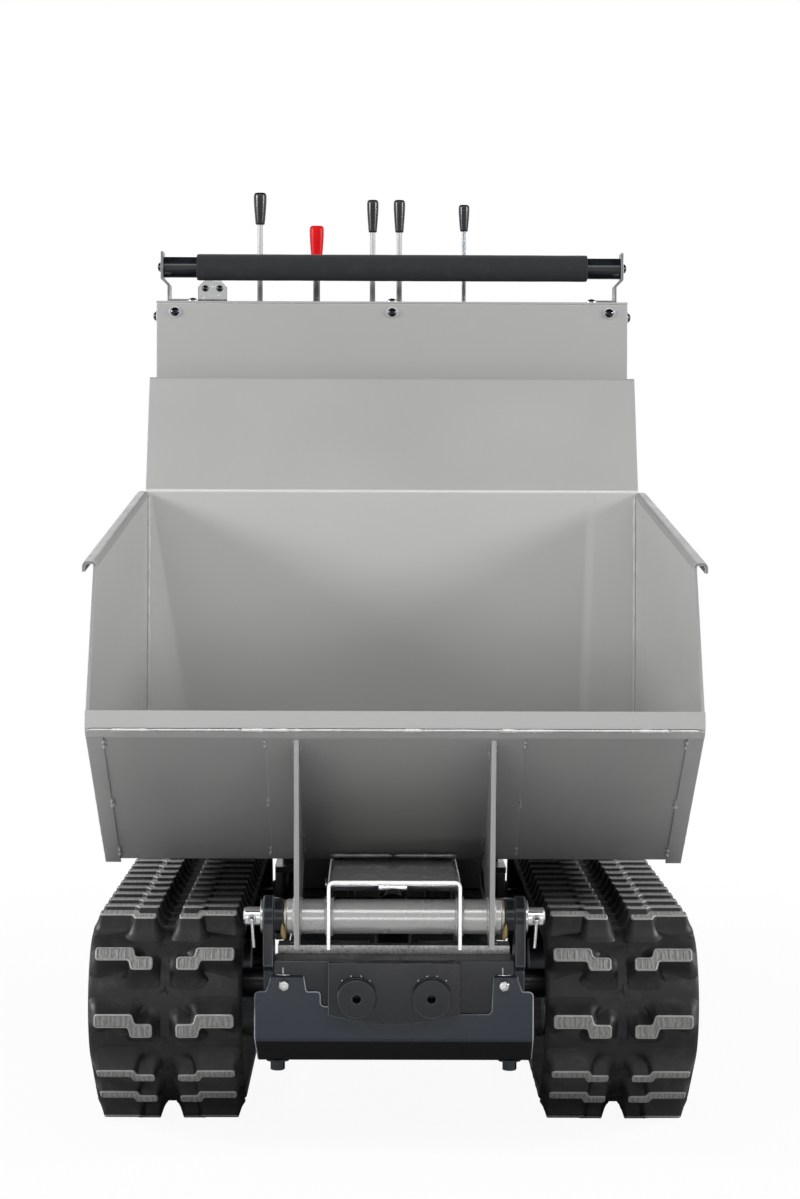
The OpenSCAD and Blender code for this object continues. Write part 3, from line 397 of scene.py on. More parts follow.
def zinc_plate():
    """Zinc-plated fasteners: bright, slightly cloudy silver."""
    return finish("zinc_plated_steel", linear("#A9ABAB"), tone=0.10, mottle=14, rough=(0.2, 0.36), grain=0.8,
                  bump=0.012, metallic=1.0, worn="#F0F0EE", wear=0.3, grime="#6F6E6A", dust=0.3)


def rod_zinc():
    """White-passivated zinc on the lever rods: pale and soft, without sharp highlights."""
    return finish("white_passivated_zinc", linear("#ACACAA"), tone=0.03, mottle=16, rough=(0.4, 0.5),
                  grain=1.0, bump=0.01, metallic=0.15, specular=0.06, worn="#77797A", wear=0.7)


def plated_bracket():
    """Dull nickel on sheet brackets: mid-grey metal with a cloudy sheen."""
    return finish("dull_nickel_plate", linear("#6E7173"), tone=0.10, mottle=16, rough=(0.3, 0.42), grain=1.0,
                  bump=0.01, metallic=0.9, worn="#B4B4B4", wear=0.4, grime="#55534E", dust=0.2)


def creased_nickel():
    """Bright nickel on the thin latch plate, creased in the press: wavering, mirror-like patches."""
    return finish("creased_nickel_plate", linear("#B2B3B3"), tone=0.04, mottle=16, rough=(0.08, 0.14),
                  grain=12, bump=1.7, metallic=1.0, worn="#77797A", wear=0.7)


def turned_steel():
    """Turned and polished steel: sharp highlights with fine rings round the axis."""
    return finish("turned_bright_steel", linear("#D4D5D6"), tone=0.06, mottle=30, rough=(0.16, 0.26),
                  grain=0.9, bump=0.015, metallic=1.0, stretch=(6, 1, 1), worn="#F2F2F2", wear=0.3)


def rest_face_highlight():
    """Pale steel on the rest plate's front faces: a painted highlight of the dark plate's front edge, laid as mill
    finish with pits and dark specks.
    """
    return finish("bare_mild_steel", linear("#EEEEEE"), tone=0.10, mottle=11, rough=(0.3, 0.45), grain=1.4,
                  bump=0.05, metallic=0.25, worn="#F5F5F5", wear=0.4, grime="#1C1A18", dust=0.85)


def wheel_steel():
    """Machined wheel steel, polished by the belt and filmed with dust."""
    return finish("machined_wheel_steel", linear("#54575A"), tone=0.16, mottle=22, rough=(0.3, 0.45),
                  grain=1.2, bump=0.03, metallic=0.8, worn="#A9AAAA", wear=0.8, grime="#3F3B35", dust=0.5)


def exhaust_steel():
    """Heat-stained exhaust steel: straw to brown oxide with soot."""
    return finish("heat_stained_steel", linear("#867A6C"), tone=0.25, mottle=35, rough=(0.38, 0.55),
                  grain=1.5, bump=0.04, metallic=0.8, worn="#B5A996", wear=0.5, grime="#2E2620", dust=0.5)


def cast_aluminium():
    """Sand-cast aluminium: soft grey skin with 1.2 mm grain."""
    return finish("sand_cast_aluminium", linear("#8B8E90"), tone=0.12, mottle=25, rough=(0.4, 0.55),
                  grain=1.2, bump=0.10, metallic=0.85, cells=2.2, worn="#B9BBBC", wear=0.6, grime="#3B3A37",
                  dust=0.35)


def valve_steel():
    """Phosphated cast iron: dull grey-green with a fine crystal grain."""
    return finish("phosphated_iron", linear("#6C6F6C"), tone=0.14, mottle=14, rough=(0.42, 0.56), grain=1.0,
                  bump=0.05, metallic=0.6, cells=1.8, worn="#9A9C9A", wear=0.6, grime="#34332F", dust=0.3)


def bush_bronze():
    """Sintered bronze bush, oily and dull."""
    return finish("sintered_bronze", linear("#A9A596"), tone=0.2, mottle=8, rough=(0.3, 0.45), grain=0.9,
                  bump=0.02, metallic=0.9, worn="#C9BFA6", wear=0.4, grime="#4A4030", dust=0.4)


def grease():
    """Lithium grease squeezed out of the pivot: wet amber."""
    return finish("amber_grease", linear("#7C6A3C"), tone=0.3, mottle=5, rough=(0.2, 0.4), grain=1.5,
                  bump=0.15, coat=0.5)


def ceiling_cloth():
    """Dark cloth under the studio's ceiling: matt grey, met by reflections alone."""
    return finish("ceiling_cloth", linear("#5A5A5A"), tone=0.1, mottle=400, rough=(0.8, 0.9), grain=6,
                  bump=0.5, specular=0.1)


def rounded(points, radius, steps=5, closed=False):
    """The line through 2D points with its corners turned into arcs."""
    points = [Vector(p) for p in points]
    count = len(points)
    line = []
    for i, p in enumerate(points):
        r = radius[i] if isinstance(radius, (list, tuple)) else radius
        if not closed and i in (0, count - 1) or r <= 0:
            line.append(p)
            continue
        a, b = points[i - 1] - p, points[(i + 1) % count] - p
        half = a.angle(b) / 2
        cut = min(r / math.tan(half), 0.48 * a.length, 0.48 * b.length)
        r = cut * math.tan(half)
        centre = p + (a.normalized() + b.normalized()).normalized() * (r / math.sin(half))
        start, end = p + a.normalized() * cut - centre, p + b.normalized() * cut - centre
        turn = start.angle_signed(end)
        line += [centre + Matrix.Rotation(-turn * k / steps, 2) @ start for k in range(steps + 1)]
    return line


def plate_line(x0, y0, x1, y1, radius, steps=5):
    """A rectangle with rounded corners, as 2D points."""
    return rounded([(x0, y0), (x1, y0), (x1, y1), (x0, y1)], radius, steps, closed=True)


def shifted(line, distance, closed=False):
    """A 2D line moved to its left, with mitred corners."""
    moved = []
    count = len(line)
    for i, p in enumerate(line):
        before = p - line[i - 1] if closed or i else line[1] - line[0]
        after = line[(i + 1) % count] - p if closed or i < count - 1 else before
        a = Vector((-before.y, before.x)).normalized()
        b = Vector((-after.y, after.x)).normalized()
        moved.append(p + (a + b) * (distance / max(0.3, 1 + a.dot(b))))
    return moved


def sheet_outline(line, thickness):
    """The closed outline of a folded sheet round its middle line."""
    return shifted(line, thickness / 2) + shifted(line, -thickness / 2)[::-1]


def mirrored(profile, length):
    """A profile of (radius, height) pairs from one end, and its mirror image at the other end."""
    return profile + [(radius, length - height) for radius, height in reversed(profile)]


def evenly(path, step, closed=False):
    """Points at even steps along a line."""
    ends = path[1:] + path[:1] if closed else path[1:]
    line = []
    for a, b in zip(path, ends):
        parts = max(1, round((b - a).length / step))
        line += [a.lerp(b, k / parts) for k in range(parts)]
    return line if closed else line + [path[-1]]


def smooth_path(points, parts=6):
    """A smooth line through points, as the hoses of the part follow them."""
    points = [Vector(p) for p in points]
    last = len(points) - 1
    line = []
    for i in range(last):
        a, b, c, d = points[max(i - 1, 0)], points[i], points[i + 1], points[min(i + 2, last)]
        for k in range(parts):
            t = k / parts
            line.append((b * 2 + (c - a) * t + (a * 2 - b * 5 + c * 4 - d) * t * t
                         + (b * 3 - a - c * 3 + d) * t ** 3) * 0.5)
    return line + [points[-1]]


def ring(centre, radius, axis="x", start=0, end=360, count=48):
    """Points of a circle or an arc about an axis."""
    points = []
    for k in range(count + (end - start < 360)):
        a = math.radians(start + (end - start) * k / count)
        turn = {"x": (0, math.cos(a), math.sin(a)), "y": (math.cos(a), 0, math.sin(a))}[axis]
        points.append(Vector(centre) + Vector(turn) * radius)
    return points


def on_wall(x, along, out=0.0):
    """A point on the outside of the skip's front wall."""
    p = WALL_TOP + WALL_DIR * along + WALL_OUT * out
    return Vector((x, p.x, p.y))


def bent_sheet(line, bends, thickness):
    """The distances along a bent section in the YZ plane, and a function that puts flat points on it."""
    section = rounded(line, bends, 5)
    inner = shifted(section, -thickness)
    reach = [0.0]
    for a, b in zip(section, section[1:]):
        reach.append(reach[-1] + (b - a).length)

    def place(x, s, depth):
        """The point at a distance along the section and a depth into the sheet."""
        i = max(k for k in range(len(reach) - 1) if reach[k] <= s + 1e-6)
        t = min(1.0, (s - reach[i]) / (reach[i + 1] - reach[i]))
        p = section[i].lerp(section[i + 1], t).lerp(inner[i].lerp(inner[i + 1], t), depth / thickness)
        return Vector((x, p.x, p.y))

    return reach, place


def soften(mesh, width, flag, angle=28, clamp=True):
    """Rounds the sharp edges of each loose part of a mesh and marks the roundings.

    Without clamp the rounding keeps its width beside short edges too.
    """
    mesh.edges.ensure_lookup_table()
    seen = set()
    parts = []
    for edge in mesh.edges:
        if edge in seen:
            continue
        part, queue = [], [edge]
        seen.add(edge)
        while queue:
            one = queue.pop()
            part.append(one)
            for near in (e for v in one.verts for e in v.link_edges if e not in seen):
                seen.add(near)
                queue.append(near)
        parts.append(part)
    for part in parts:
        sharp = [e for e in part if len(e.link_faces) == 2 and e.calc_face_angle() > math.radians(angle)]
        if sharp:
            made = bmesh.ops.bevel(mesh, geom=sharp, offset=width, offset_type="OFFSET", segments=2,
                                   profile=0.5, affect="EDGES", clamp_overlap=clamp)
            for face in made["faces"]:
                face[flag] = 1.0


class Form:
    """A mesh in the making, in millimetres in the model's frame. The finish number picks its material."""

    def __init__(self):
        self.mesh = bmesh.new()
        self.flag = self.mesh.faces.layers.float.new("edge")

    def skin(self, rings, finish=0, closed=False, ends=True):
        """Joins rings of equally many points with quads."""
        rows = [[self.mesh.verts.new(p) for p in points] for points in rings]
        faces = []
        for a, b in zip(rows, rows[1:] + rows[:1] if closed else rows[1:]):
            for i in range(len(a)):
                j = (i + 1) % len(a)
                faces.append(self.mesh.faces.new((a[i], a[j], b[j], b[i])))
        if ends and not closed:
            faces += [self.mesh.faces.new(rows[0][::-1]), self.mesh.faces.new(rows[-1])]
        for face in faces:
            face.material_index = finish

    def turned(self, profile, at, axis, sides=40, finish=0, closed=False):
        """Turns (radius, height) pairs about an axis. A third number gives flats, as on a nut."""
        axis = Vector(axis).normalized()
        across = axis.orthogonal().normalized()
        other = axis.cross(across)
        rings = []
        for radius, height, *flats in profile:
            points = []
            for k in range(sides):
                turn = 2 * math.pi * k / sides
                reach = radius
                if flats:
                    step = 2 * math.pi / flats[0]
                    reach = radius / math.cos((turn + step / 2) % step - step / 2)
                out = across * math.cos(turn) + other * math.sin(turn)
                points.append(Vector(at) + axis * height + out * reach)
            rings.append(points)
        self.skin(rings, finish, closed)

    def tube(self, path, radius, sides=12, finish=0, closed=False):
        """Sweeps a round section along points. The radius is a number or one for each point."""
        path = [Vector(p) for p in path]
        count = len(path)
        turns = [2 * math.pi * k / sides for k in range(sides)]
        rings = []
        side = None
        for i, p in enumerate(path):
            ahead = path[(i + 1) % count] if closed or i < count - 1 else p
            behind = path[i - 1] if closed or i else p
            along = (ahead - behind).normalized()
            side = along.orthogonal() if side is None else side - along * side.dot(along)
            side.normalize()
            other = along.cross(side)
            r = radius[i] if isinstance(radius, list) else radius
            rings.append([p + (side * math.cos(turn) + other * math.sin(turn)) * r for turn in turns])
        self.skin(rings, finish, closed)

    def bead(self, path, radius, finish=0, seed=1, closed=False, step=2.0):
        """A weld bead: a tube whose ripples, 5.2 mm apart, and slow lumps follow the welder's hand."""
        ripple_pitch, lump = 5.2, 6
        lumps, ripples, grit = 0.22, 0.10, 0.06
        chance = random.Random(seed)
        path = evenly([Vector(p) for p in path], step, closed)
        sway = [chance.uniform(-1, 1) for _ in range(len(path) // lump + 3)]
        radii = []
        for i in range(len(path)):
            a, f = i // lump, (i % lump) / lump
            slow = sway[a] * (1 - f) + sway[a + 1] * f
            ripple = math.sin(i * step * 2 * math.pi / ripple_pitch)
            end = 1.0 if closed else min(1.0, 0.35 + 0.25 * min(i, len(path) - 1 - i))
            radii.append(radius * end * (1 + lumps * slow + ripples * ripple + grit * chance.uniform(-1, 1)))
        self.tube(path, radii, 8, finish, closed)

    def slab(self, outline, front, back, finish=0):
        """Gives an outline in the XZ plane a thickness along Y."""
        self.skin([[(p.x, y, p.y) for p in outline] for y in (front, back)], finish)

    def pressed(self, pattern, cuts, place, thickness):
        """Bends a flat pattern of (across, along) points into a sheet, cut across at its bends."""
        flat = bmesh.new()
        flat.faces.new([flat.verts.new((x, s, 0)) for x, s in pattern])
        for s in cuts:
            whole = flat.verts[:] + flat.edges[:] + flat.faces[:]
            bmesh.ops.bisect_plane(flat, geom=whole, plane_co=(0, s, 0), plane_no=(0, 1, 0), dist=0.01)
        front = {v: self.mesh.verts.new(place(v.co.x, v.co.y, 0.0)) for v in flat.verts}
        back = {v: self.mesh.verts.new(place(v.co.x, v.co.y, thickness)) for v in flat.verts}
        for face in flat.faces:
            self.mesh.faces.new([front[v] for v in face.verts])
            self.mesh.faces.new([back[v] for v in reversed(face.verts)])
        for edge in (e for e in flat.edges if len(e.link_faces) == 1):
            a, b = edge.verts
            self.mesh.faces.new((front[a], front[b], back[b], back[a]))
        flat.free()

    def bolt(self, at, axis, wrench, washer=0, finish=0, height=0.62):
        """A hexagon bolt head with its chamfer and washer. The wrench size is across its flats."""
        half, base = wrench / 2, 0.0
        if washer:
            self.turned([(0, 0), (wrench * 0.84, 0), (wrench * 0.88, 0.3), (wrench * 0.88, washer - 0.4),
                         (wrench * 0.82, washer), (0, washer)], at, axis, 32, finish)
            base = washer
        top = base + wrench * height
        self.turned([(half, base, 6), (half, top - 0.9, 6), (half * 0.985, top - 0.35), (half * 0.86, top),
                     (half * 0.5, top), (half * 0.44, top - 0.3), (0, top - 0.3)], at, axis, 36, finish)

    def button(self, at, axis, radius, washer=2):
        """A domed bolt head with a dark socket, on a thin washer."""
        rim = radius * 1.32
        self.turned([(0, 0), (radius * 1.28, 0), (rim, 0.3), (rim, 0.9), (radius * 1.24, 1.2), (0, 1.2)],
                    at, axis, 32, washer)
        dome = [(radius, 1.2), (radius, 1.8)]
        dome += [(radius * math.cos(a), 1.8 + radius * 0.55 * math.sin(a)) for a in (0.25, 0.5, 0.75, 1.0)]
        self.turned(dome + [(radius * 0.42, 1.8 + radius * 0.5, 6), (radius * 0.4, 1.4, 6)], at, axis, 36, 0)
        socket = radius * 0.395
        self.turned([(0, 1.5), (socket, 1.5, 6), (socket, 1.7, 6), (0, 1.7)], at, axis, 36, 1)

    def piece(self, name, body, finishes, slot, replaces=(), soft=0.0, crease=36):
        """Ends the form as a piece that rides a body and stands for solids."""
        bmesh.ops.remove_doubles(self.mesh, verts=self.mesh.verts, dist=0.0005)
        bmesh.ops.dissolve_degenerate(self.mesh, edges=self.mesh.edges, dist=0.0005)
        bmesh.ops.recalc_face_normals(self.mesh, faces=self.mesh.faces)
        if soft:
            soften(self.mesh, soft, self.flag)
        bmesh.ops.scale(self.mesh, vec=(MM, MM, MM), verts=self.mesh.verts)
        placed(self.mesh, name, body, finishes, replaces, crease)


def placed(mesh, name, body, finishes, replaces=(), crease=36):
    """Turns a finished mesh into a scene object on its body."""
    data = bpy.data.meshes.new(name)
    for face in mesh.faces:
        face.smooth = True
    mesh.to_mesh(data)
    mesh.free()
    data.set_sharp_from_angle(angle=math.radians(crease))
    for material in finishes:
        data.materials.append(material)
    made = bpy.data.objects.new(name, data)
    bpy.context.scene.collection.objects.link(made)
    made.modifiers.new("even_shading", "WEIGHTED_NORMAL").keep_sharp = True
    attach(made, body)
    if replaces:
        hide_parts(*replaces)


def softened(node, width, material, other=None):
    """A copy of a solid with rounded edges, in its finish. Faces not turned ahead may have another one."""
    source = NODES[node].data
    mesh = bmesh.new()
    flag = mesh.faces.layers.float.new("edge")
    points = [mesh.verts.new(v.co * 1000) for v in source.vertices]
    for polygon in source.polygons:
        mesh.faces.new([points[i] for i in polygon.vertices])
    bmesh.ops.remove_doubles(mesh, verts=mesh.verts, dist=0.004)
    bmesh.ops.dissolve_limit(mesh, angle_limit=math.radians(0.6), verts=mesh.verts, edges=mesh.edges)
    bmesh.ops.recalc_face_normals(mesh, faces=mesh.faces)
    soften(mesh, width, flag)
    if other:
        ahead = Vector((0, -1, 0))
        for face in mesh.faces:
            face.material_index = int(face.normal.dot(ahead) < 0.4)
    bmesh.ops.scale(mesh, vec=(MM, MM, MM), verts=mesh.verts)
    finishes = [material, other] if other else [material]
    placed(mesh, node + "_piece", BODY_OF[node], finishes, [node])


def belt_path(hand):
    """The belt's middle line: a function from a length in millimetres to (y, z, outward angle)."""
    side = SIDES[hand]
    idler, drive = AXLE[f"idler_{side}_spin"], AXLE[f"sprocket_{side}_spin"]
    front, rear = AXLE[f"roller_{side}_1_spin"], AXLE[f"roller_{side}_3_spin"]
    low, high = span(f"track_{side}")
    big = high.z - idler.z - LUG_H - FACE
    small = front.z - low.z - LUG_H - FACE
    gap = Vector((front.y - idler.y, front.z - idler.z))
    slope = math.atan2(-gap.y, gap.x) - math.asin((big - small) / gap.length)
    down = 1.5 * math.pi
    arcs = [(idler, big, math.pi / 2, down - slope), (front, small, down - slope, down),
            (rear, small, down, down + slope), (drive, big, down + slope, 2.5 * math.pi)]
    runs = []
    for i, (centre, r, a0, a1) in enumerate(arcs):
        runs.append((r * (a1 - a0), centre, r, a0, a1, None))
        follow, r2, b0, _ = arcs[(i + 1) % 4]
        start = Vector((centre.y + r * math.cos(a1), centre.z + r * math.sin(a1)))
        stop = Vector((follow.y + r2 * math.cos(b0), follow.z + r2 * math.sin(b0)))
        runs.append(((stop - start).length, None, 0, a1, a1, (start, stop)))
    whole = sum(run[0] for run in runs)
    scale = whole / (LINKS * PITCH)

    def at(s):
        """The place and the outward angle at a length along the belt."""
        s = (s * scale) % whole
        for length, centre, r, a0, a1, ends in runs:
            if s <= length:
                t = s / length
                if ends:
                    p = ends[0].lerp(ends[1], t)
                    return p.x, p.y, a0
                a = a0 + (a1 - a0) * t
                return centre.y + r * math.cos(a), centre.z + r * math.sin(a), a
            s -= length
        raise RuntimeError("the belt path has no such length")

    return at


class Belt:
    """Places points on one belt by their length along it, their place across it and their height."""

    def __init__(self, hand):
        self.at = belt_path(hand)
        low, high = span(f"track_{SIDES[hand]}")
        self.middle = (low.x + high.x) / 2
        self.half = (high.x - low.x) / 2

    def bent(self, s, x, h):
        """A point that follows the belt round its bends."""
        y, z, a = self.at(s)
        return Vector((self.middle + x, y + h * math.cos(a), z + h * math.sin(a)))

    def stiff(self, row, s, x, h):
        """A point of a form that stands straight on the belt at a row."""
        y, z, a = self.at(row)
        return Vector((self.middle + x, y + h * math.cos(a) - s * math.sin(a),
                       z + h * math.sin(a) + s * math.cos(a)))

    def grown(self, row, s, x, h):
        """A point of a lug, which keeps its shape at the top and follows the belt at its foot."""
        t = min(1.0, max(0.0, (h - FACE) / 9.0))
        return self.bent(row + s, x, h).lerp(self.stiff(row, s, x, h), t * t * (3 - 2 * t))


def lever_nodes(name):
    """The nodes of a lever's rod and grip."""
    kind, _, side = name.partition("_")
    tail = f"_{side}" if side else ""
    return f"{kind}_lever{tail}", f"{kind}_grip{tail}"


class CARRIER_OT_skip(bpy.types.Operator):
    """Builds the folded skip with its lip, plates and welds"""
    bl_idname = "carrier.skip"
    bl_label = "Skip"

    def execute(self, context):
        edge = size("sheet_edge")
        self.tub(edge)
        softened("skip_lip", 1.4, skip_enamel())
        # the plates and gussets on the front wall take the darker outside enamel: painted shade
        softened("skip_doublers", 0.8, outer_shaded_enamel())
        softened("skip_gussets", edge, outer_shaded_enamel())
        # the channel takes a paler enamel: painted light where the skip shades it
        softened("skip_channel", edge, channel_lit_enamel())
        self.seams(size("weld"))
        return {"FINISHED"}

    def tub(self, edge):
        """A sheet folded from the front wall to the headboard's hem, and side walls with hooked rims."""
        bend = size("bend")
        tub = Form()
        line = [Vector(p) for p in (WALL_TOP, WALL_LOW, (BACK_Y, FLOOR_Z), (BACK_Y, FOLD_Z), (HEAD_Y, HEAD_Z),
                                    (HEAD_Y + 13, HEAD_Z - 1))]
        middle = rounded(shifted(line, SHEET / 2), [0, bend, bend, bend * 1.4, 4, 0], 8)
        outline = sheet_outline(middle, SHEET)
        tub.skin([self.drawn_in(outline, -1, *step) for step in DRAWN[-1]]
                 + [self.drawn_in(outline, 1, *step) for step in reversed(DRAWN[1])])
        down = Vector((0, 6))
        side = rounded([WALL_TOP, WALL_LOW, (BACK_Y, FLOOR_Z), RIM_BACK - down, RIM_FRONT - down,
                        (LIP_Y + 9, LIP_Z)], [0, bend + 2, bend + 2, 0, 2, 0], 7, closed=True)
        hook = rounded([(HALF - 2, -9), (HALF - 2, -2), (HALF + 11, -2), (HALF + 11, -13)], 4.5, 6)
        rim = sheet_outline(hook, SHEET)
        for hand in SIDES:
            self.side_wall(tub, hand, side)
            tub.skin([[(hand * x, end.x, end.y + z) for x, z in rim] for end in (RIM_FRONT, RIM_BACK)], 1)
        bmesh.ops.recalc_face_normals(tub.mesh, faces=tub.mesh.faces)
        # faces turned down, and the outer faces of the side walls, take the darker outside enamel: painted shade
        for face in tub.mesh.faces:
            outside = face.normal.z < -0.3 or face.normal.x * face.calc_center_median().x > HALF * 0.8
            if face.material_index == 0 and outside:
                face.material_index = 2
        tub.piece("skip_tub_sheet", "skip", [skip_enamel(), rim_enamel(), outer_shaded_enamel()], "grey_paint",
                  ["skip_tub"], soft=edge * 0.6)

    def drawn_in(self, outline, hand, share, depth):
        """The sheet's section near a side, where welding has drawn the back wall in toward the corner."""
        low_width, high_width = DRAWN_WIDTHS[hand]
        zone, loss, below_fold = 16, 0.85, 4
        section = []
        for p in outline:
            on_back = p.x > BACK_Y - zone
            rise = min(1.0, max(0.0, (p.y - FLOOR_Z) / (FOLD_Z - FLOOR_Z))) if on_back else 0.0
            pull = depth * (1 - loss * rise) if on_back and p.y < FOLD_Z - below_fold else 0.0
            width = low_width + (high_width - low_width) * rise
            section.append((hand * (HALF - 0.3 - share * width), p.x - pull, p.y))
        return section

    def side_wall(self, tub, hand, side):
        """A side wall with shallow upright dents that fade out toward its rim."""
        dents = DENTS[hand]

        def place(z, y, depth):
            """The point at a height and a length, at a depth into the sheet."""
            dent = sum(DENT_DEPTH * math.exp(-((y - at) / wide) ** 2) for at, wide in dents)
            high = RIM_FRONT.lerp(RIM_BACK, (y - RIM_FRONT.x) / (RIM_BACK.x - RIM_FRONT.x)).y
            return hand * (HALF - 0.15 - depth - dent * max(0, high - z) / (high - FLOOR_Z)), y, z

        cuts = [at + wide * k / 2 for at, wide in dents for k in range(-4, 5)]
        tub.pressed([(p.y, p.x) for p in side], cuts, place, SHEET - 0.25)

    def seams(self, weld):
        """The weld beads of the lip, the corners, the plates, the gussets and the pivot tube."""
        seams = Form()
        y, z = LIP_Y + 1.6, LIP_Z - 21.4
        seams.bead([(-HALF + 4, y, z), (HALF - 4, y, z)], 1.7, seed=3)
        # fuller lengths of the lip seam
        y, z = LIP_Y + 1.2, LIP_Z - 21.6
        for x, length in ((-300, 46), (-148, 60), (-110, 14), (150, 70), (292, 40), (20, 26)):
            seams.bead([(x - length / 2, y, z), (x + length / 2, y, z)], 2.6, seed=x)
        for hand in SIDES:
            # inner corners, which follow the drawn-in wall, and the front edge of the side wall
            inner, outer = hand * (HALF - SHEET - 1.2), hand * (HALF - 0.9)
            deep = DRAWN[hand][0][1]
            back, floor = BACK_Y - SHEET - 1.2, FLOOR_Z + SHEET + 1
            seams.bead([(inner, back - deep, FLOOR_Z + 12), (inner, back - deep * 0.15, FOLD_Z - 6)],
                       2.4, 1, seed=5)
            seams.bead([(inner, WALL_LOW.x + 8, floor), (inner, BACK_Y - 10, floor)], 2.2, 1, seed=6)
            seams.bead([on_wall(outer, 8, 0.4), on_wall(outer, WALL_L - 12, 0.4)], 1.4, seed=7)
            # stitch welds along the plates on the front wall
            for x in (hand * 147.5, hand * (HALF - 19)):
                for k, at in enumerate((16, WALL_L * 0.5, WALL_L - 34)):
                    for lump in (0, 1):
                        start = at + 11 * lump
                        seams.bead([on_wall(x, start, 1.4), on_wall(x, start + 9, 1.4)], weld * 1.6,
                                   seed=int(x) + 7 * k + lump)
            # gusset seams on the reinforcing plate, and the channel's seam
            for x in (hand * 108.2, hand * 115.8):
                for start, stop, count in ((16, 60, 0), (WALL_L - 75, WALL_L - 18, 2)):
                    seams.bead([on_wall(x, start, 3.4), on_wall(x, stop, 3.4)], weld * 0.8,
                               seed=int(x) + count)
            y, z = WALL_LOW.x - 24, FLOOR_Z + 7
            seams.bead([(hand * 2, y, z), (hand * 76, y, z)], weld, seed=9)
        # weld rings where the channel and the gussets hold the pivot tube
        for x in (-115.4, -108.6, -78.4, -72.4, 72.4, 78.4, 108.6, 115.4):
            seams.bead(ring((x, PIVOT.y, PIVOT.z), 20.6), weld * 0.95, seed=int(x), closed=True)
        seams.piece("skip_welds", "skip", [weld_enamel(), skip_enamel()], "grey_paint")


class CARRIER_OT_pivot(bpy.types.Operator):
    """Builds the skip's pivot: tube, bushes, pin, washers, split pins and grease"""
    bl_idname = "carrier.pivot"
    bl_label = "Skip pivot"

    def execute(self, context):
        y, z = PIVOT.y, PIVOT.z
        along = (1, 0, 0)
        tube = Form()
        wall = mirrored([(15.1, 0), (19.2, 0), (20, 0.8)], TUBE_HIGH.x - TUBE_LOW.x)
        tube.turned(wall, (TUBE_LOW.x, y, z), along, 64, closed=True)
        tube.piece("pivot_tube_piece", "skip", [tube_enamel()], "grey_paint", ["skip_pivot_tube"])
        softened("pivot_bushes", 0.5, bush_bronze())
        low, high = span("pivot_pin")
        # the pin's ends have a centre hole and a chamfer
        end = [(0, 2.6), (1.6, 2.4), (3.2, 0.2), (3.6, 0), (8.4, 0), (10.9, 2.2), (10.95, 3)]
        pin = Form()
        pin.turned(mirrored(end, high.x - low.x), (low.x, y, z), along, 48)
        pin.piece("pivot_pin_piece", "chassis", [turned_steel()], "bright_steel", ["pivot_pin"])
        washer = 3
        washer_disc = mirrored([(11.4, 0), (19.1, 0), (19.5, 0.4)], washer)
        washer_x = span("pivot_washers")[1].x - washer
        key_x = span("split_pins")[1].x - 2
        front = y - 11
        discs, keys, smear = Form(), Form(), Form()
        for hand in SIDES:
            discs.turned(washer_disc, (hand * washer_x, y, z), (hand, 0, 0), 48, closed=True)
            x = hand * key_x
            keys.tube(smooth_path([
                (x, y + 16, z - 1), (x, y, z), (x, front, z), (x, front - 4, z - 2),
                (x - hand * 0.6, front - 5, z - 8), (x - hand * 2.6, front - 5, z - 34)]), 2.1)
            keys.tube(ring((x, front - 4.5, z - 1), 3.4, "y", count=28), 1.4, 10, closed=True)
            # grease pressed out between the bush and the lug, hanging as a drop
            drop = [(hand * (129 - 0.3 * k), y - 20.5 + 0.3 * k, z - 6 - 2.4 * k) for k in range(9)]
            smear.tube(drop, [0.8, 1.6, 2.2, 2.8, 3.3, 3.6, 3.3, 2.4, 0.9], 14)
        discs.piece("pivot_washer_pair", "chassis", [zinc_plate()], "zinc", ["pivot_washers"])
        keys.piece("split_pin_pair", "chassis", [zinc_plate()], "zinc", ["split_pins"])
        smear.piece("pivot_grease", "chassis", [grease()], "bush_brass", crease=80)
        return {"FINISHED"}


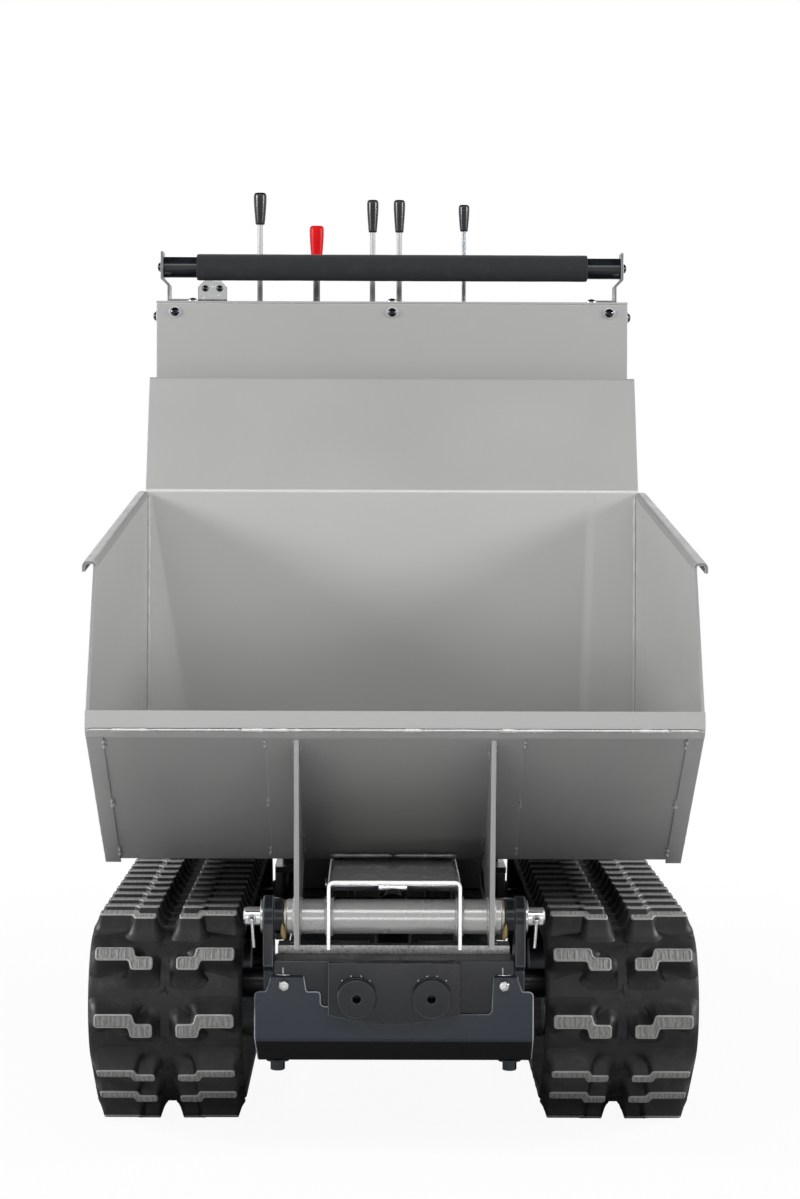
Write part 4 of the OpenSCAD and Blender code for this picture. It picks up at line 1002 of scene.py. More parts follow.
class CARRIER_OT_front(bpy.types.Operator):
    """Builds the bumper, the coupling bracket, the rest plate and their bolts"""
    bl_idname = "carrier.front"
    bl_label = "Bumper and coupling"

    def execute(self, context):
        ear_z = 201.0
        self.bumper(size("plate_edge") * 0.8, ear_z)
        softened("coupling_bracket", 3.4, chassis_enamel())
        # the rest plate's faces turned ahead take pale steel, a painted highlight; the others keep the dark enamel
        softened("rest_plate", 1.0, rest_face_highlight(), chassis_enamel())
        face = span("coupling_bracket")[0].y + 12
        boss_x, boss_z = 43, 178
        welds = Form()
        for hand in SIDES:
            seat = (hand * boss_x, face - 0.6, boss_z)
            welds.bead(ring(seat, 22.3, "y", 20, 160), 1.7, seed=21 + hand)
            welds.bead(ring(seat, 22.2, "y", 180, 360), 1.1, seed=25 + hand)
            # beads of spatter above each boss, in bright steel: painted highlights on dark paint
            for p in ring((hand * boss_x, face - 1.2, boss_z), 24.5, "y", 50, 130, 3):
                welds.bead([p, p + Vector((hand * 1.4, -0.8, 2.2))], 1.5, 1, seed=int(p.x), step=0.8)
        welds.piece("coupling_welds", "chassis", [chassis_enamel(), turned_steel()], "dark_paint")
        low = span("front_bumper")[0]
        bolts = Form()
        for hand in SIDES:
            ear_x, foot_x = hand * 127, hand * 135
            bolts.bolt((ear_x, low.y - 0.1, ear_z - 11), (0, -1, 0), 11)
            bolts.bolt((ear_x, low.y + 12, ear_z), (0, 0, 1), 13, 1.6)
            bolts.bolt((foot_x, low.y + 30, low.z - 0.1), (0, 0, -1), 15, 2.4, 1, height=0.72)
        bolts.piece("bumper_bolts", "chassis", [zinc_plate(), dark_zinc()], "zinc", ["hex_bolts"])
        return {"FINISHED"}

    def bumper(self, edge, ear_z):
        """One sheet: a foot, a slanted lower face, an upright face with a cutout, and two folded ears."""
        low, high = span("front_bumper")
        face, foot, thickness = low.y, low.z, 5.0
        reach, place = bent_sheet([(face + 42, foot), (face + 16, foot), (face, foot + 26), (face, ear_z),
                                   (face + 24, ear_z)], [0, 9, 9, 5, 0], thickness)
        upright = max(range(len(reach) - 1), key=lambda i: reach[i + 1] - reach[i])
        upright_z = place(0, reach[upright], 0).z

        def height(z):
            """The distance along the flat pattern of a height on the upright face."""
            return reach[upright] + z - upright_z

        wide, end = high.x, reach[-1]
        side, top, neck = height(130), height(183), height(196)
        cutout, cutout_left = height(157), height(166)
        # corners of the flat pattern: across, along and rounding
        corners = [(-wide + 6, 0, 2), (wide - 2, 0, 2), (wide, side, 0), (wide, top, 6), (148.5, top, 2),
                   (144, neck, 3), (142, end, 4), (115, end, 4), (112.5, cutout, 4.5), (70, cutout, 0),
                   (-66, cutout_left, 0), (-84.5, cutout_left, 4.5), (-84.5, top, 4.5), (-101, top, 2),
                   (-103, neck, 3), (-106, end, 4), (-141, end, 4), (-144, neck, 3), (-148, top, 2),
                   (-wide, top, 6), (-wide, side, 0)]
        pattern = rounded([c[:2] for c in corners], [c[2] for c in corners], 5, closed=True)
        sheet = Form()
        sheet.pressed(pattern, reach[1:-1], place, thickness)
        # faces below the bend take the near-black finish: painted shade on the bumper's underside
        for part in sheet.mesh.faces:
            part.material_index = int(part.calc_center_median().z < foot + 25)
        bmesh.ops.recalc_face_normals(sheet.mesh, faces=sheet.mesh.faces)
        # the roundings take the bumper's pale edge colour: a painted highlight along the bends and edges
        soften(sheet.mesh, edge, sheet.flag, clamp=False)
        sheet.piece("bumper_sheet", "chassis", [bumper_enamel(), underside_shade()], "bumper_paint",
                    ["front_bumper"])


class CARRIER_OT_chassis(bpy.types.Operator):
    """Builds the chassis frame, the track frames and the idler yokes"""
    bl_idname = "carrier.chassis"
    bl_label = "Chassis"

    def execute(self, context):
        edge = size("plate_edge")
        for node, width in (("chassis_frame", edge), ("track_frames", edge * 1.3), ("idler_yokes", edge)):
            softened(node, width, chassis_enamel())
        return {"FINISHED"}


class CARRIER_OT_tracks(bpy.types.Operator):
    """Builds the two rubber belts with their lugs, windows and guide horns"""
    bl_idname = "carrier.tracks"
    bl_label = "Tracks"

    def execute(self, context):
        rings = self.lug_rings()
        for hand, side in SIDES.items():
            belt, form, chance = Belt(hand), Form(), random.Random(40 + hand)
            self.carcass(form, belt)
            for k in range(LINKS):
                row = (k + ROW_PHASE) * PITCH
                for flip in (-1, 1):
                    self.lug(form, belt, row + LUG_SHIFT, flip, rings, chance)
                    self.horn(form, belt, row, flip)
                self.web(form, belt, row + PITCH / 2, chance)
            form.piece(f"track_{side}_belt", "chassis",
                       [belt_rubber(), scuffed_rubber(), lug_border(), slit_shade_rubber()], "track_rubber",
                       [f"track_{side}"], crease=48)
        return {"FINISHED"}

    def carcass(self, form, belt):
        """The flat belt: one section swept round, with a sunk tooth window in each link."""
        half, lines = belt.half, (-60, -36, -11, 11, 36, 60)
        section = [(-half + 6, FACE), *((x, FACE) for x in lines), (half - 6, FACE), (half, 2), (half, -4),
                   (half - 3, -FACE), *((x, -FACE) for x in reversed(lines)), (-half + 3, -FACE), (-half, -4),
                   (-half, 2)]
        stations = [(k + ROW_PHASE) * PITCH + d for k in range(LINKS) for d in LINK_STEPS]
        form.skin([[belt.bent(s, x, h) for x, h in section] for s in stations], closed=True)
        form.mesh.faces.ensure_lookup_table()
        rows = [r for r in range(len(stations)) if LINK_STEPS[r % len(LINK_STEPS)] in WINDOW_STEPS]
        outer, inner = ([form.mesh.faces[r * len(section) + strip] for r in rows]
                        for strip in (section.index((-11, FACE)), section.index((11, -FACE))))
        bmesh.ops.recalc_face_normals(form.mesh, faces=form.mesh.faces)
        for faces, border, depth in ((outer, 2.4, -1.8), (inner, 0.8, -8.0)):
            bmesh.ops.inset_region(form.mesh, faces=faces, thickness=border, depth=depth,
                                   use_even_offset=True)

    def lug_rings(self):
        """Outlines of half a lug, from the cells on its top to its foot, each with its height and finish."""
        border, sink = size("lug_border"), size("lug_sink")
        # the outer part stands ahead of the inner part; the two inner corners between them stay tight
        corners = [(80.5, -13.6), (80.5, 1.7), (41.5, 1.7), (38.5, 13.6), (14.5, 13.6), (14.5, -1.7),
                   (34.5, -1.7), (37.5, -13.6)]
        arc, tight, most = 4, (2, 6), 3.9
        radii = [4.5 if i in tight else 3.2 for i in range(len(corners))]
        outline = rounded(corners, radii, arc, closed=True)
        hollow = {i * (arc + 1) + k for i in tight for k in range(arc + 1)}
        top = FACE + LUG_H
        rings = []
        for reach, height, number in (
                (-border - 0.7, top - sink, 1), (-border, top - sink, 1), (-border + 0.35, top, 2),
                (-0.35, top, 2), (0.35, top - 0.5, 2), (0.8, top - 1.6, 0), (2.5, 20.0, 0), (4.4, 14.6, 0),
                (6.6, 10.8, 0), (9.4, 8.5, 0), (12.6, 7.25, 0), (13.6, 6.2, 0)):
            moved = shifted(outline, -reach, closed=True)
            held = shifted(outline, -min(reach, most), closed=True)
            rings.append(([held[i] if i in hollow else p for i, p in enumerate(moved)], height, number))
        return rings

    def lug(self, form, belt, crown, flip, rings, chance):
        """Half a lug with its raised border, and the rungs between the cells on its top."""
        loops = []
        for points, h, _ in rings:
            marks = [(p.y, flip * min(belt.half - 1.5, max(5.5, p.x))) for p in points]
            loops.append([belt.grown(crown, s, x, h) for s, x in marks])
        for a, b, (_, _, number) in zip(loops, loops[1:], rings):
            form.skin([a, b], number, ends=False)
        form.mesh.faces.new([form.mesh.verts.new(p) for p in loops[0]]).material_index = 1
        top, floor, half_rung = FACE + LUG_H - 0.1, rings[0][1] - 0.2, 5.5
        for x, mid in ((22, 6.0), (30, 6.0), (46.5, -6), (55, -6), (63.5, -6), (72, -6)):
            wide = 0.6 + chance.uniform(-0.1, 0.2)
            shape = ((-wide, -half_rung), (wide, -half_rung), (wide, half_rung), (-wide, half_rung))
            form.skin([[belt.stiff(crown, mid + ds, flip * (x + dx * narrow), h) for dx, ds in shape]
                       for narrow, h in ((1, floor), (0.6, top))], 2)

    def horn(self, form, belt, row, flip):
        """A guide horn inside the belt."""
        middle = 24
        outline = plate_line(middle - 6, -13, middle + 6, 13, 3, 3)
        shape = []
        for h, grow in ((-6, 1.18), (-7.6, 1.0), (-12, 0.86), (-22, 0.66), (-25.5, 0.58), (-27, 0.46)):
            wide = min(1.1, 0.55 + 0.45 * grow)
            marks = [(p.y * grow, flip * (middle + (p.x - middle) * wide)) for p in outline]
            shape.append([belt.stiff(row, s, x, h) for s, x in marks])
        form.skin(shape)

    def web(self, form, belt, window, chance):
        """Three ragged slits in a tooth window, thin near-black shapes: painted shade where the torn web opens."""
        tilt = chance.uniform(-0.35, 0.35)
        for spoke in (0.9 + tilt, 2.3 + tilt, 4.6 + tilt):
            reach, wide = chance.uniform(6.5, 8.6), chance.uniform(0.7, 1.5)
            a, b = math.cos(spoke), math.sin(spoke)
            # along and across the slit: its root, a shoulder, its tip, the other shoulder and the root again
            shoulder = reach * 0.6
            slit = ((-1, wide), (shoulder, wide * 0.9), (reach, 0), (shoulder, -wide * 0.7), (-1, -wide))
            marks = [(a * along - b * across, b * along + a * across) for along, across in slit]
            form.skin([[belt.bent(window + s, x, h) for x, s in marks] for h in (4.9, 5.45)], 3)


class CARRIER_OT_wheels(bpy.types.Operator):
    """Builds the idlers, rollers and sprockets inside the tracks"""
    bl_idname = "carrier.wheels"
    bl_label = "Wheels"

    def execute(self, context):
        for side in SIDES.values():
            for node in (f"idler_{side}", f"sprocket_{side}", *(f"roller_{side}_{k}" for k in (1, 2, 3))):
                softened(node, 1.4, wheel_steel())
        return {"FINISHED"}


class CARRIER_OT_console(bpy.types.Operator):
    """Builds the lever console with its bolts and slot frames"""
    bl_idname = "carrier.console"
    bl_label = "Console"

    def execute(self, context):
        # the console panels take a darker copy of the skip's enamel: painted shade
        for node in ("console_front_panel", "console_housing", "console_top_plate"):
            softened(node, size("sheet_edge"), console_enamel())
        bolts = Form()
        radius, bar_radius, fold_y = 6.4, 6.8, PANEL_Y + 12
        bracket_x = span("handle_brackets")[1].x + 0.1
        for x in (-CONSOLE_W + 27, 0, CONSOLE_W - 27):
            bolts.button((x, PANEL_Y - 0.1, CONSOLE_Z - 16), (0, -1, 0), radius)
            bolts.button((x * 0.92, fold_y, CONSOLE_Z + 0.1), (0, 0, 1), radius)
        for hand in SIDES:
            bolts.button((hand * (CONSOLE_W + 0.1), fold_y, CONSOLE_Z - 22), (hand, 0, 0), radius)
            bolts.button((hand * bracket_x, BAR.y, BAR.z), (hand, 0, 0), bar_radius)
        bolts.piece("console_button_bolts", "chassis", [dark_zinc(), black_plastic(), zinc_plate()], "zinc",
                    ["console_bolts"])
        frames = Form()
        for name in LEVERS:
            low, high = span(lever_nodes(name)[1])
            x, y = ((low + high) / 2).x, SHAFT.y
            outer = plate_line(x - 16, y - 57, x + 16, y + 57, 7)
            inner = plate_line(x - 8.4, y - 47, x + 8.4, y + 47, 3)
            loops = ((inner, 0.05), (outer, 0.05), (outer, 1.5), (shifted(outer, 1.4, True), 2.6),
                     (inner, 2.6))
            frames.skin([[(p.x, p.y, CONSOLE_Z + up) for p in line] for line, up in loops], closed=True)
        frames.piece("lever_slot_frames", "chassis", [black_plastic()], "black_plastic")
        return {"FINISHED"}


class CARRIER_OT_grab_bar(bpy.types.Operator):
    """Builds the grab bar with its foam sleeve, end brackets and latch bracket"""
    bl_idname = "carrier.grab_bar"
    bl_label = "Grab bar"

    def execute(self, context):
        low, high = span("handle_tube")
        r = (high.z - low.z) / 2
        tube = Form()
        tube.turned(mirrored([(0, 0), (r - 1.2, 0), (r - 0.3, 0.5), (r, 1.4)], high.x - low.x),
                    (low.x, BAR.y, BAR.z), (1, 0, 0), 56)
        tube.piece("grab_bar_tube", "chassis", [bar_enamel()], "dark_paint", ["handle_tube"])
        self.foam()
        softened("handle_brackets", 0.8, plated_bracket())
        self.latch()
        return {"FINISHED"}

    def foam(self):
        """The foam sleeve: soft rims, and a skin that sinks and swells a little along its length."""
        low, high = span("foam_grip")
        r, length, rings = (high.z - low.z) / 2, high.x - low.x, 72
        chance = random.Random(8)
        rim = [(r - 3.6, 0.0), (r - 1.6, 0.1), (r - 0.6, 0.9), (r - 0.1, 2.4)]
        wave, body = 0.0, []
        for k in range(rings + 1):
            body.append((r + max(-0.5, min(0.0, wave)), 6 + (length - 12) * k / rings))
            wave = 0.8 * wave + chance.uniform(-0.09, 0.07)
        foam = Form()
        profile = rim + body + mirrored(rim, length)[len(rim):]
        foam.turned(profile, (low.x, BAR.y, BAR.z), (1, 0, 0), 56, closed=True)
        foam.piece("foam_sleeve", "chassis", [nitrile_foam()], "foam", ["foam_grip"], crease=60)

    def latch(self):
        """The small folded latch plate with two screws."""
        low, high = span("latch_bracket")
        thickness, cut = 3.0, 9
        reach, place = bent_sheet([(high.y, low.z), (low.y, low.z), (low.y, high.z)], [0, 5, 0], thickness)
        end = reach[-1]
        corners = [(low.x, 0), (high.x, 0), (high.x, end - cut), (high.x - cut, end), (low.x + cut, end),
                   (low.x, end - cut)]
        pattern = rounded(corners, [4, 4, 3, 3, 3, 3], 5, closed=True)
        plate = Form()
        plate.pressed(pattern, reach[1:-1], place, thickness)
        plate.piece("latch_plate", "chassis", [creased_nickel()], "zinc", ["latch_bracket"], soft=1.1)
        screws = Form()
        for x in (low.x + 11, high.x - 11):
            screws.button((x, low.y - 0.1, low.z + 20), (0, -1, 0), 3.6, washer=0)
        screws.piece("latch_screws", "chassis", [dark_zinc(), black_plastic()], "zinc")


class CARRIER_OT_levers(bpy.types.Operator):
    """Builds the five levers and their moulded grips"""
    bl_idname = "carrier.levers"
    bl_label = "Levers"

    def execute(self, context):
        metals = {"red": valve_steel, "speed": plated_bracket}
        for name in LEVERS:
            rod, knob = lever_nodes(name)
            softened(rod, 0.6, metals.get(name, rod_zinc)())
            if name == "red":
                self.grip(knob, BODY_OF[rod], red_plastic(), "red_plastic", 0.74)
            else:
                self.grip(knob, BODY_OF[rod], black_plastic(), "black_plastic", 1.0)
        return {"FINISHED"}

    def grip(self, node, body, plastic, slot, flat):
        """A tapered grip with a faint parting line of its mould down both sides."""
        low, high = span(node)
        middle, r, length, sides = (low + high) / 2, (high.x - low.x) / 2, high.z - low.z, 40
        rings = []
        # shares of the radius, and of the length down from the top
        for share, drop in ((0, 0), (0.5, 0.004), (0.78, 0.012), (0.9, 0.03), (0.965, 0.06), (0.995, 0.1),
                            (1.0, 0.16), (0.985, 0.3), (0.94, 0.45), (0.885, 0.6), (0.82, 0.75), (0.755, 0.9),
                            (0.73, 0.955), (0.70, 0.985), (0.64, 1.0), (0.3, 1.0)):
            loop = []
            for k in range(sides):
                a = 2 * math.pi * k / sides
                seam = 1.0 + (0.018 if k % (sides // 2) == 0 and 0.05 < drop < 0.97 else 0.0)
                x, y = r * share * seam * math.cos(a), r * share * flat * math.sin(a)
                loop.append((middle.x + x, middle.y + y, high.z - length * drop))
            rings.append(loop)
        grip = Form()
        grip.skin(rings)
        grip.piece(node + "_piece", body, [plastic], slot, [node], crease=60)


class CARRIER_OT_engine(bpy.types.Operator):
    """Builds the engine with its starter, muffler, air cleaner and fuel tank"""
    bl_idname = "carrier.engine"
    bl_label = "Engine"

    def execute(self, context):
        softened("engine_block", 1.6, cast_aluminium())
        softened("recoil_cover", 1.5, black_plastic())
        softened("muffler", 2.0, exhaust_steel())
        softened("fuel_tank", 7.0, black_plastic())
        softened("fuel_cap", 1.0, black_plastic())
        y, z = ENGINE_Y, DECK
        ahead = (0, -1, 0)
        trim = Form()
        # spark plug, its boot and lead
        plug = (30, y + 13.5, z + 234)
        trim.turned([(7, 0, 6), (7, 6, 6), (4.6, 6.4), (4.6, 18), (0, 18)], plug, ahead, 36, 1)
        trim.turned([(0, 9), (8, 9), (9, 10.5), (9, 24), (8, 27), (0, 27)], plug, ahead, 32)
        trim.tube(smooth_path([(30, y - 9, z + 234), (52, y - 10, z + 232), (74, y - 4, z + 205),
                               (84, y + 8, z + 152)], 8), 3.4)
        # air cleaner with its ribs, and carburettor, on the left
        trim.slab(plate_line(-150, z + 168, -86, z + 244, 9), y + 18, y + 112)
        for k in range(5):
            rib = 13 * k
            trim.slab(plate_line(-153, z + 178 + rib, -149, z + 184 + rib, 1, 2), y + 26, y + 104)
        trim.turned([(17, 0), (17, 24), (0, 24)], (-86, y + 65, z + 205), (1, 0, 0), 32, 1)
        # oil filler and drain plugs
        trim.turned([(0, 0), (13, 0), (14, 1), (14, 5), (12, 6), (6, 6, 4), (6, 13, 4), (0, 13)],
                    (70, y - 0.1, z + 46), ahead, 36)
        trim.bolt((-70, y - 0.1, z + 22), ahead, 14, 1.4, 1)
        # starter grip and its rope
        rope = [(73, y + back, z + 170) for back in (178, 183, 188)]
        trim.tube(smooth_path(rope, 3), 2.4, 10)
        trim.slab(plate_line(50, z + 163, 96, z + 177, 6.5), y + 186, y + 198)
        # bolts of the starter cover and of the cylinder head
        for a in range(4):
            t = math.radians(45 + 90 * a)
            trim.bolt((88 * math.cos(t), y + 168, z + 100 + 88 * math.sin(t)), (0, 1, 0), 9, 1.0, 1)
            trim.bolt((46 * (1 if a % 2 else -1), y + (28 if a < 2 else 102), z + 246), (0, 0, 1), 12, 1.2, 1)
        trim.piece("engine_trim", "chassis", [black_plastic(), zinc_plate()], "black_plastic", soft=1.2)
        return {"FINISHED"}


class CARRIER_OT_hydraulics(bpy.types.Operator):
    """Builds the oil tank, pump, valves, hoses, drive motors and tipping ram"""
    bl_idname = "carrier.hydraulics"
    bl_label = "Hydraulics"

    def execute(self, context):
        softened("hydraulic_tank", 5.0, tank_enamel())
        softened("hydraulic_pump", 2.0, cast_aluminium())
        softened("valve_bank", 1.2, valve_steel())
        softened("drive_motors", 2.0, valve_steel())
        softened("ram_barrel", 1.4, chassis_enamel())
        softened("ram_rod", 1.0, turned_steel())
        softened("ram_upper_pin", 0.8, turned_steel())
        drive = AXLE["sprocket_right_spin"]
        crank = DECK + 100
        self.hoses(drive, crank)
        self.trim(drive, crank)
        return {"FINISHED"}

    def hoses(self, drive, crank):
        """The rigid hoses with a hexagon fitting at each end, on the routes of the part."""
        tank_low, tank_high = span("hydraulic_tank")
        shelf = SHAFT.z - 136.3
        pump_y, port_y = ENGINE_Y - 78, PANEL_Y + 60
        port_x, port_z = tank_high.x, tank_low.z - 0.2 + 30
        pressure_y, motor_y, leg_y = SHAFT.y - 20, SHAFT.y + 30, drive.y + 93
        routes = [
            (8, [(54.3, pump_y, crank), (66, pump_y, crank), (78, pump_y, crank),
                 (102, pump_y + 16, crank + 50), (106, PANEL_Y + 18, crank + 105),
                 (108, PANEL_Y + 26, crank + 200), (90, PANEL_Y + 36, shelf - 140),
                 (30, pressure_y, shelf - 64), (30, pressure_y, shelf - 32),
                 (30, pressure_y, shelf)]),
            (9, [(-54.3, pump_y, crank), (-66, pump_y, crank), (-80, pump_y, crank),
                 (-96, pump_y + 30, crank + 20), (-110, PANEL_Y + 20, crank + 20),
                 *((port_x + away, port_y, port_z) for away in (40, 20, 0.4))]),
        ]
        for hand in SIDES:
            routes.append((7, [(hand * x, y, z) for x, y, z in (
                (100, drive.y + 39.4, drive.z + 34.4), (100, drive.y + 45, drive.z + 39.2),
                (102, drive.y + 52, drive.z + 44), (126, drive.y + 82, drive.z + 40), (135, leg_y, DECK - 2),
                (135, leg_y, DECK + 60), (188, drive.y + 98, DECK + 160), (188, drive.y + 98, shelf - 160),
                (140, motor_y, shelf - 64), (140, motor_y, shelf - 32), (140, motor_y, shelf))]))
        hoses = Form()
        for radius, points in routes:
            path = evenly(smooth_path(points, 8), 5)
            hoses.tube(path, radius * 0.94, 16)
            nut, neck = radius * 0.98, radius * 0.9
            fitting = [(0, 0), (nut, 0, 6), (nut, 6, 6), (neck, 6.4), (nut, 7), (nut, 18), (neck, 19),
                       (0, 19)]
            for end, near in ((path[0], path[4]), (path[-1], path[-5])):
                hoses.turned(fitting, end, (near - end).normalized(), 36, 1)
        hoses.piece("hydraulic_hose_set", "chassis", [hose_rubber(), zinc_plate()], "hose_rubber",
                    ["hydraulic_hoses"])

    def trim(self, drive, crank):
        """The tank's breather cap and sight glasses, and the bolts and plugs of motors, pump and valves."""
        tank_low, tank_high = span("hydraulic_tank")
        pump_low = span("hydraulic_pump")[0]
        trim = Form()
        # the tank's body ends here on the right; the solid's box also holds the port
        tank_side = -214
        middle = (tank_low.x + tank_side) / 2
        trim.turned([(0, 0), (30, 0), (31.5, 1.5), (31.5, 10), (29, 13), (20, 14), (0, 14)],
                    (middle, tank_high.y - 66, tank_high.z + 0.1), (0, 0, 1), 48)
        for drop in (150, 80):
            trim.turned([(0, 0), (13, 0), (14, 1), (14, 4), (11, 5.5), (9.5, 5), (0, 5)],
                        (middle, tank_high.y + 0.1, tank_high.z - drop), (0, 1, 0), 40, 1)
        for hand in SIDES:
            for a in range(4):
                t = math.radians(45 + 90 * a)
                y, z = drive.y + 66 * math.cos(t) * 1.05, drive.z + 66 * math.sin(t) * 0.98
                trim.bolt((hand * 157.9, y, z), (-hand, 0, 0), 10, 0, 1)
            for z in (crank - 28, crank + 28):
                trim.bolt((hand * 30, pump_low.y - 0.1, z), (0, -1, 0), 10, 1.0, 1)
            # port plugs of the two valve blocks
            for block in (7, 198):
                trim.turned([(0, 0), (9, 0, 6), (9, 7, 6), (7.5, 8), (0, 8)],
                            (hand * 18 - block, SHAFT.y - 42.1, SHAFT.z - 90), (0, -1, 0), 36, 1)
        trim.piece("hydraulic_trim", "chassis", [black_plastic(), zinc_plate()], "zinc")


class CARRIER_OT_stage(bpy.types.Operator):
    """Sets the floor, the studio light and the camera"""
    bl_idname = "carrier.stage"
    bl_label = "Stage"

    def execute(self, context):
        scene = context.scene
        scene.view_settings.view_transform = "Standard"
        self.floor(scene)
        self.world(scene)
        # place and aim in metres, width and height, watts
        for name, at, aim, area, power in (
                ("side_left", (-2.3, -0.55, 1.5), (0.0, 0.1, 0.6), (0.6, 0.6), 72),
                ("side_right", (2.3, -0.55, 1.5), (0.0, 0.1, 0.6), (0.6, 0.6), 64),
                ("front_softbox", (0.0, -3.6, 2.9), (0.0, 0.0, 0.5), (5.0, 1.1), 66),
                ("low_strip", (-0.9, -2.0, 0.05), (-0.2, -0.6, 0.3), (1.4, 0.06), 3),
                ("line_strip", (0.0, -2.0, 0.1), (0.0, -0.6, 0.27), (0.6, 0.16), 1.3),
                ("back_softbox", (0.0, 3.2, 2.2), (0.0, 0.0, 0.7), (2.6, 1.4), 26)):
            lamp = bpy.data.lights.new(name, "AREA")
            lamp.shape = "RECTANGLE"
            lamp.size, lamp.size_y = area
            lamp.energy = power
            holder = bpy.data.objects.new(name, lamp)
            scene.collection.objects.link(holder)
            holder.location = at
            holder.rotation_euler = (Vector(aim) - Vector(at)).to_track_quat("-Z", "Y").to_euler()
            # the low strip lifts the undersides and shows in no reflection
            holder.visible_glossy = name != "low_strip"
        self.ceiling(scene)
        self.camera(scene)
        return {"FINISHED"}

    def disc(self, scene, name, material, radius, height, sides):
        """A flat round piece of the stage."""
        data = bpy.data.meshes.new(name)
        mesh = bmesh.new()
        bmesh.ops.create_circle(mesh, cap_ends=True, radius=radius, segments=sides,
                                matrix=Matrix.Translation((0, 0, height)))
        mesh.to_mesh(data)
        mesh.free()
        data.materials.append(material)
        made = bpy.data.objects.new(name, data)
        scene.collection.objects.link(made)
        return made

    def ceiling(self, scene):
        """The studio's dark ceiling: it is met only by reflections, and keeps upward faces deep in tone."""
        made = self.disc(scene, "studio_ceiling", ceiling_cloth(), radius=8, height=4.2, sides=24)
        made.visible_camera = made.visible_shadow = made.visible_diffuse = False

    def floor(self, scene):
        """A pale floor that glows white away from the machine and keeps its shadow. Near the machine the glow
        fades by distance, a little to the eye and fully in reflections: painted shade round it.
        """
        material = bpy.data.materials.new("pale_studio_floor")
        self.disc(scene, "floor", material, radius=14.0, height=-0.0006, sides=96)
        tree = emptied(material)
        place = add(tree, "ShaderNodeTexCoord").outputs["Object"]
        away = add(tree, "ShaderNodeVectorMath", {0: place}, operation="LENGTH").outputs["Value"]
        # the glow fades toward the machine by distance alone: painted shade round it, slight to the eye and full
        # in reflections
        lift = add(tree, "ShaderNodeMapRange", {
            "Value": away, "From Min": 0.6, "From Max": 2.2, "To Min": 0.94, "To Max": 1.0}).outputs[0]
        far = add(tree, "ShaderNodeMapRange", {"Value": away, "From Min": 0.9, "From Max": 2.6}).outputs[0]
        camera, mirror = self.rays(tree)
        seen = add(tree, "ShaderNodeMath", {0: camera, 1: lift}, operation="MULTIPLY").outputs[0]
        share = add(tree, "ShaderNodeMath", {0: mirror, 1: far, 2: seen}, operation="MULTIPLY_ADD").outputs[0]
        matt = add(tree, "ShaderNodeBsdfDiffuse", {"Color": (0.55, 0.55, 0.55, 1)}).outputs[0]
        glow = add(tree, "ShaderNodeEmission", {"Color": (1, 1, 1, 1), "Strength": 1.0}).outputs[0]
        mixed = add(tree, "ShaderNodeMixShader", {0: share, 1: matt, 2: glow}).outputs[0]
        add(tree, "ShaderNodeOutputMaterial", {"Surface": mixed})

    def rays(self, tree):
        """Whether a ray comes from the camera, and whether it comes by way of metal or glass."""
        path = add(tree, "ShaderNodeLightPath").outputs
        mirror = add(tree, "ShaderNodeMath", {0: path["Is Glossy Ray"], 1: path["Is Transmission Ray"]},
                     operation="MAXIMUM").outputs[0]
        return path["Is Camera Ray"], mirror

    def world(self, scene):
        """White to the eye, white to reflections but dimmer overhead, and weak as light."""
        scene.world = scene.world or bpy.data.worlds.new("studio")
        tree = emptied(scene.world)
        camera, mirror = self.rays(tree)
        way = add(tree, "ShaderNodeTexCoord").outputs["Generated"]
        rise = add(tree, "ShaderNodeSeparateXYZ", {"Vector": way}).outputs["Z"]
        overhead = add(tree, "ShaderNodeMapRange", {
            "Value": rise, "From Min": 0.2, "From Max": 0.8, "To Min": 1.0, "To Max": 0.7}).outputs[0]
        shown = add(tree, "ShaderNodeMath", {0: mirror, 1: overhead}, operation="MULTIPLY").outputs[0]
        shown = add(tree, "ShaderNodeMath", {0: shown, 1: camera}, operation="MAXIMUM").outputs[0]
        power = add(tree, "ShaderNodeMath", {0: shown, 1: 0.14}, operation="MAXIMUM").outputs[0]
        sky = add(tree, "ShaderNodeBackground", {"Color": (1, 1, 1, 1), "Strength": power}).outputs[0]
        add(tree, "ShaderNodeOutputWorld", {"Surface": sky})

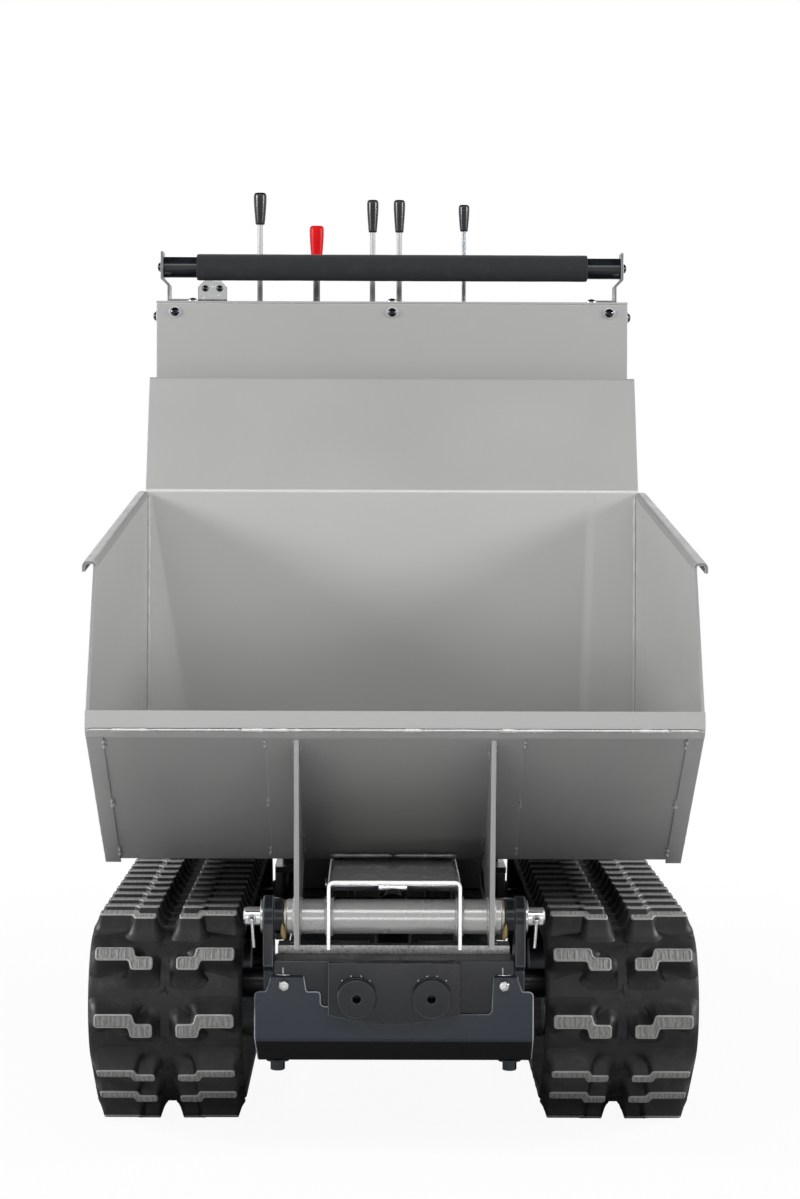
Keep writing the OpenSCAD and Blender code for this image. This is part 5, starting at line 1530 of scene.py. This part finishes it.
    def camera(self, scene):
        """The photograph's viewpoint, solved from the sizes of the part."""
        place = (-0.02174, -4.19434, 0.74615)
        yaw, pitch, roll = math.radians(0.432), math.radians(1.754), math.radians(0.191)
        ahead = Vector((math.sin(yaw) * math.cos(pitch), math.cos(yaw) * math.cos(pitch), -math.sin(pitch)))
        level = Vector((math.cos(yaw), -math.sin(yaw), 0))
        upright = level.cross(ahead)
        right = level * math.cos(roll) + upright * math.sin(roll)
        up = upright * math.cos(roll) - level * math.sin(roll)
        lens = bpy.data.cameras.new("photo_camera")
        lens.lens, lens.sensor_width, lens.sensor_fit = 93.956, 36.0, "AUTO"
        lens.clip_end = 100
        holder = bpy.data.objects.new("photo_camera", lens)
        scene.collection.objects.link(holder)
        turn = Matrix((right, up, -ahead)).transposed().to_4x4()
        holder.matrix_world = Matrix.Translation(place) @ turn
        scene.camera = holder


STEPS = (CARRIER_OT_skip, CARRIER_OT_pivot, CARRIER_OT_front, CARRIER_OT_chassis, CARRIER_OT_tracks,
         CARRIER_OT_wheels, CARRIER_OT_console, CARRIER_OT_grab_bar, CARRIER_OT_levers, CARRIER_OT_engine,
         CARRIER_OT_hydraulics, CARRIER_OT_stage)


class CARRIER_PT_panel(bpy.types.Panel):
    """Lists the carrier's pieces and settings"""
    bl_idname = "CARRIER_PT_panel"
    bl_label = "Tracked power carrier"
    bl_space_type = "VIEW_3D"
    bl_region_type = "UI"
    bl_category = "Carrier"

    def draw(self, context):
        for step in STEPS:
            self.layout.operator(step.bl_idname)
        for group in (context.scene.carrier_sizes, context.scene.carrier_colours):
            for key in group.__annotations__:
                self.layout.prop(group, key)


CLASSES = (CarrierColours, CarrierSizes, *STEPS, CARRIER_PT_panel)


def register():
    """Adds the add-on's classes and settings."""
    for one in CLASSES:
        bpy.utils.register_class(one)
    bpy.types.Scene.carrier_colours = bpy.props.PointerProperty(type=CarrierColours)
    bpy.types.Scene.carrier_sizes = bpy.props.PointerProperty(type=CarrierSizes)


def unregister():
    """Removes the add-on's classes and settings."""
    del bpy.types.Scene.carrier_sizes
    del bpy.types.Scene.carrier_colours
    for one in reversed(CLASSES):
        bpy.utils.unregister_class(one)


def main():
    """Builds every piece in order."""
    register()
    for step in STEPS:
        group, name = step.bl_idname.split(".")
        getattr(getattr(bpy.ops, group), name)()


if __name__ == "__main__":
    main()
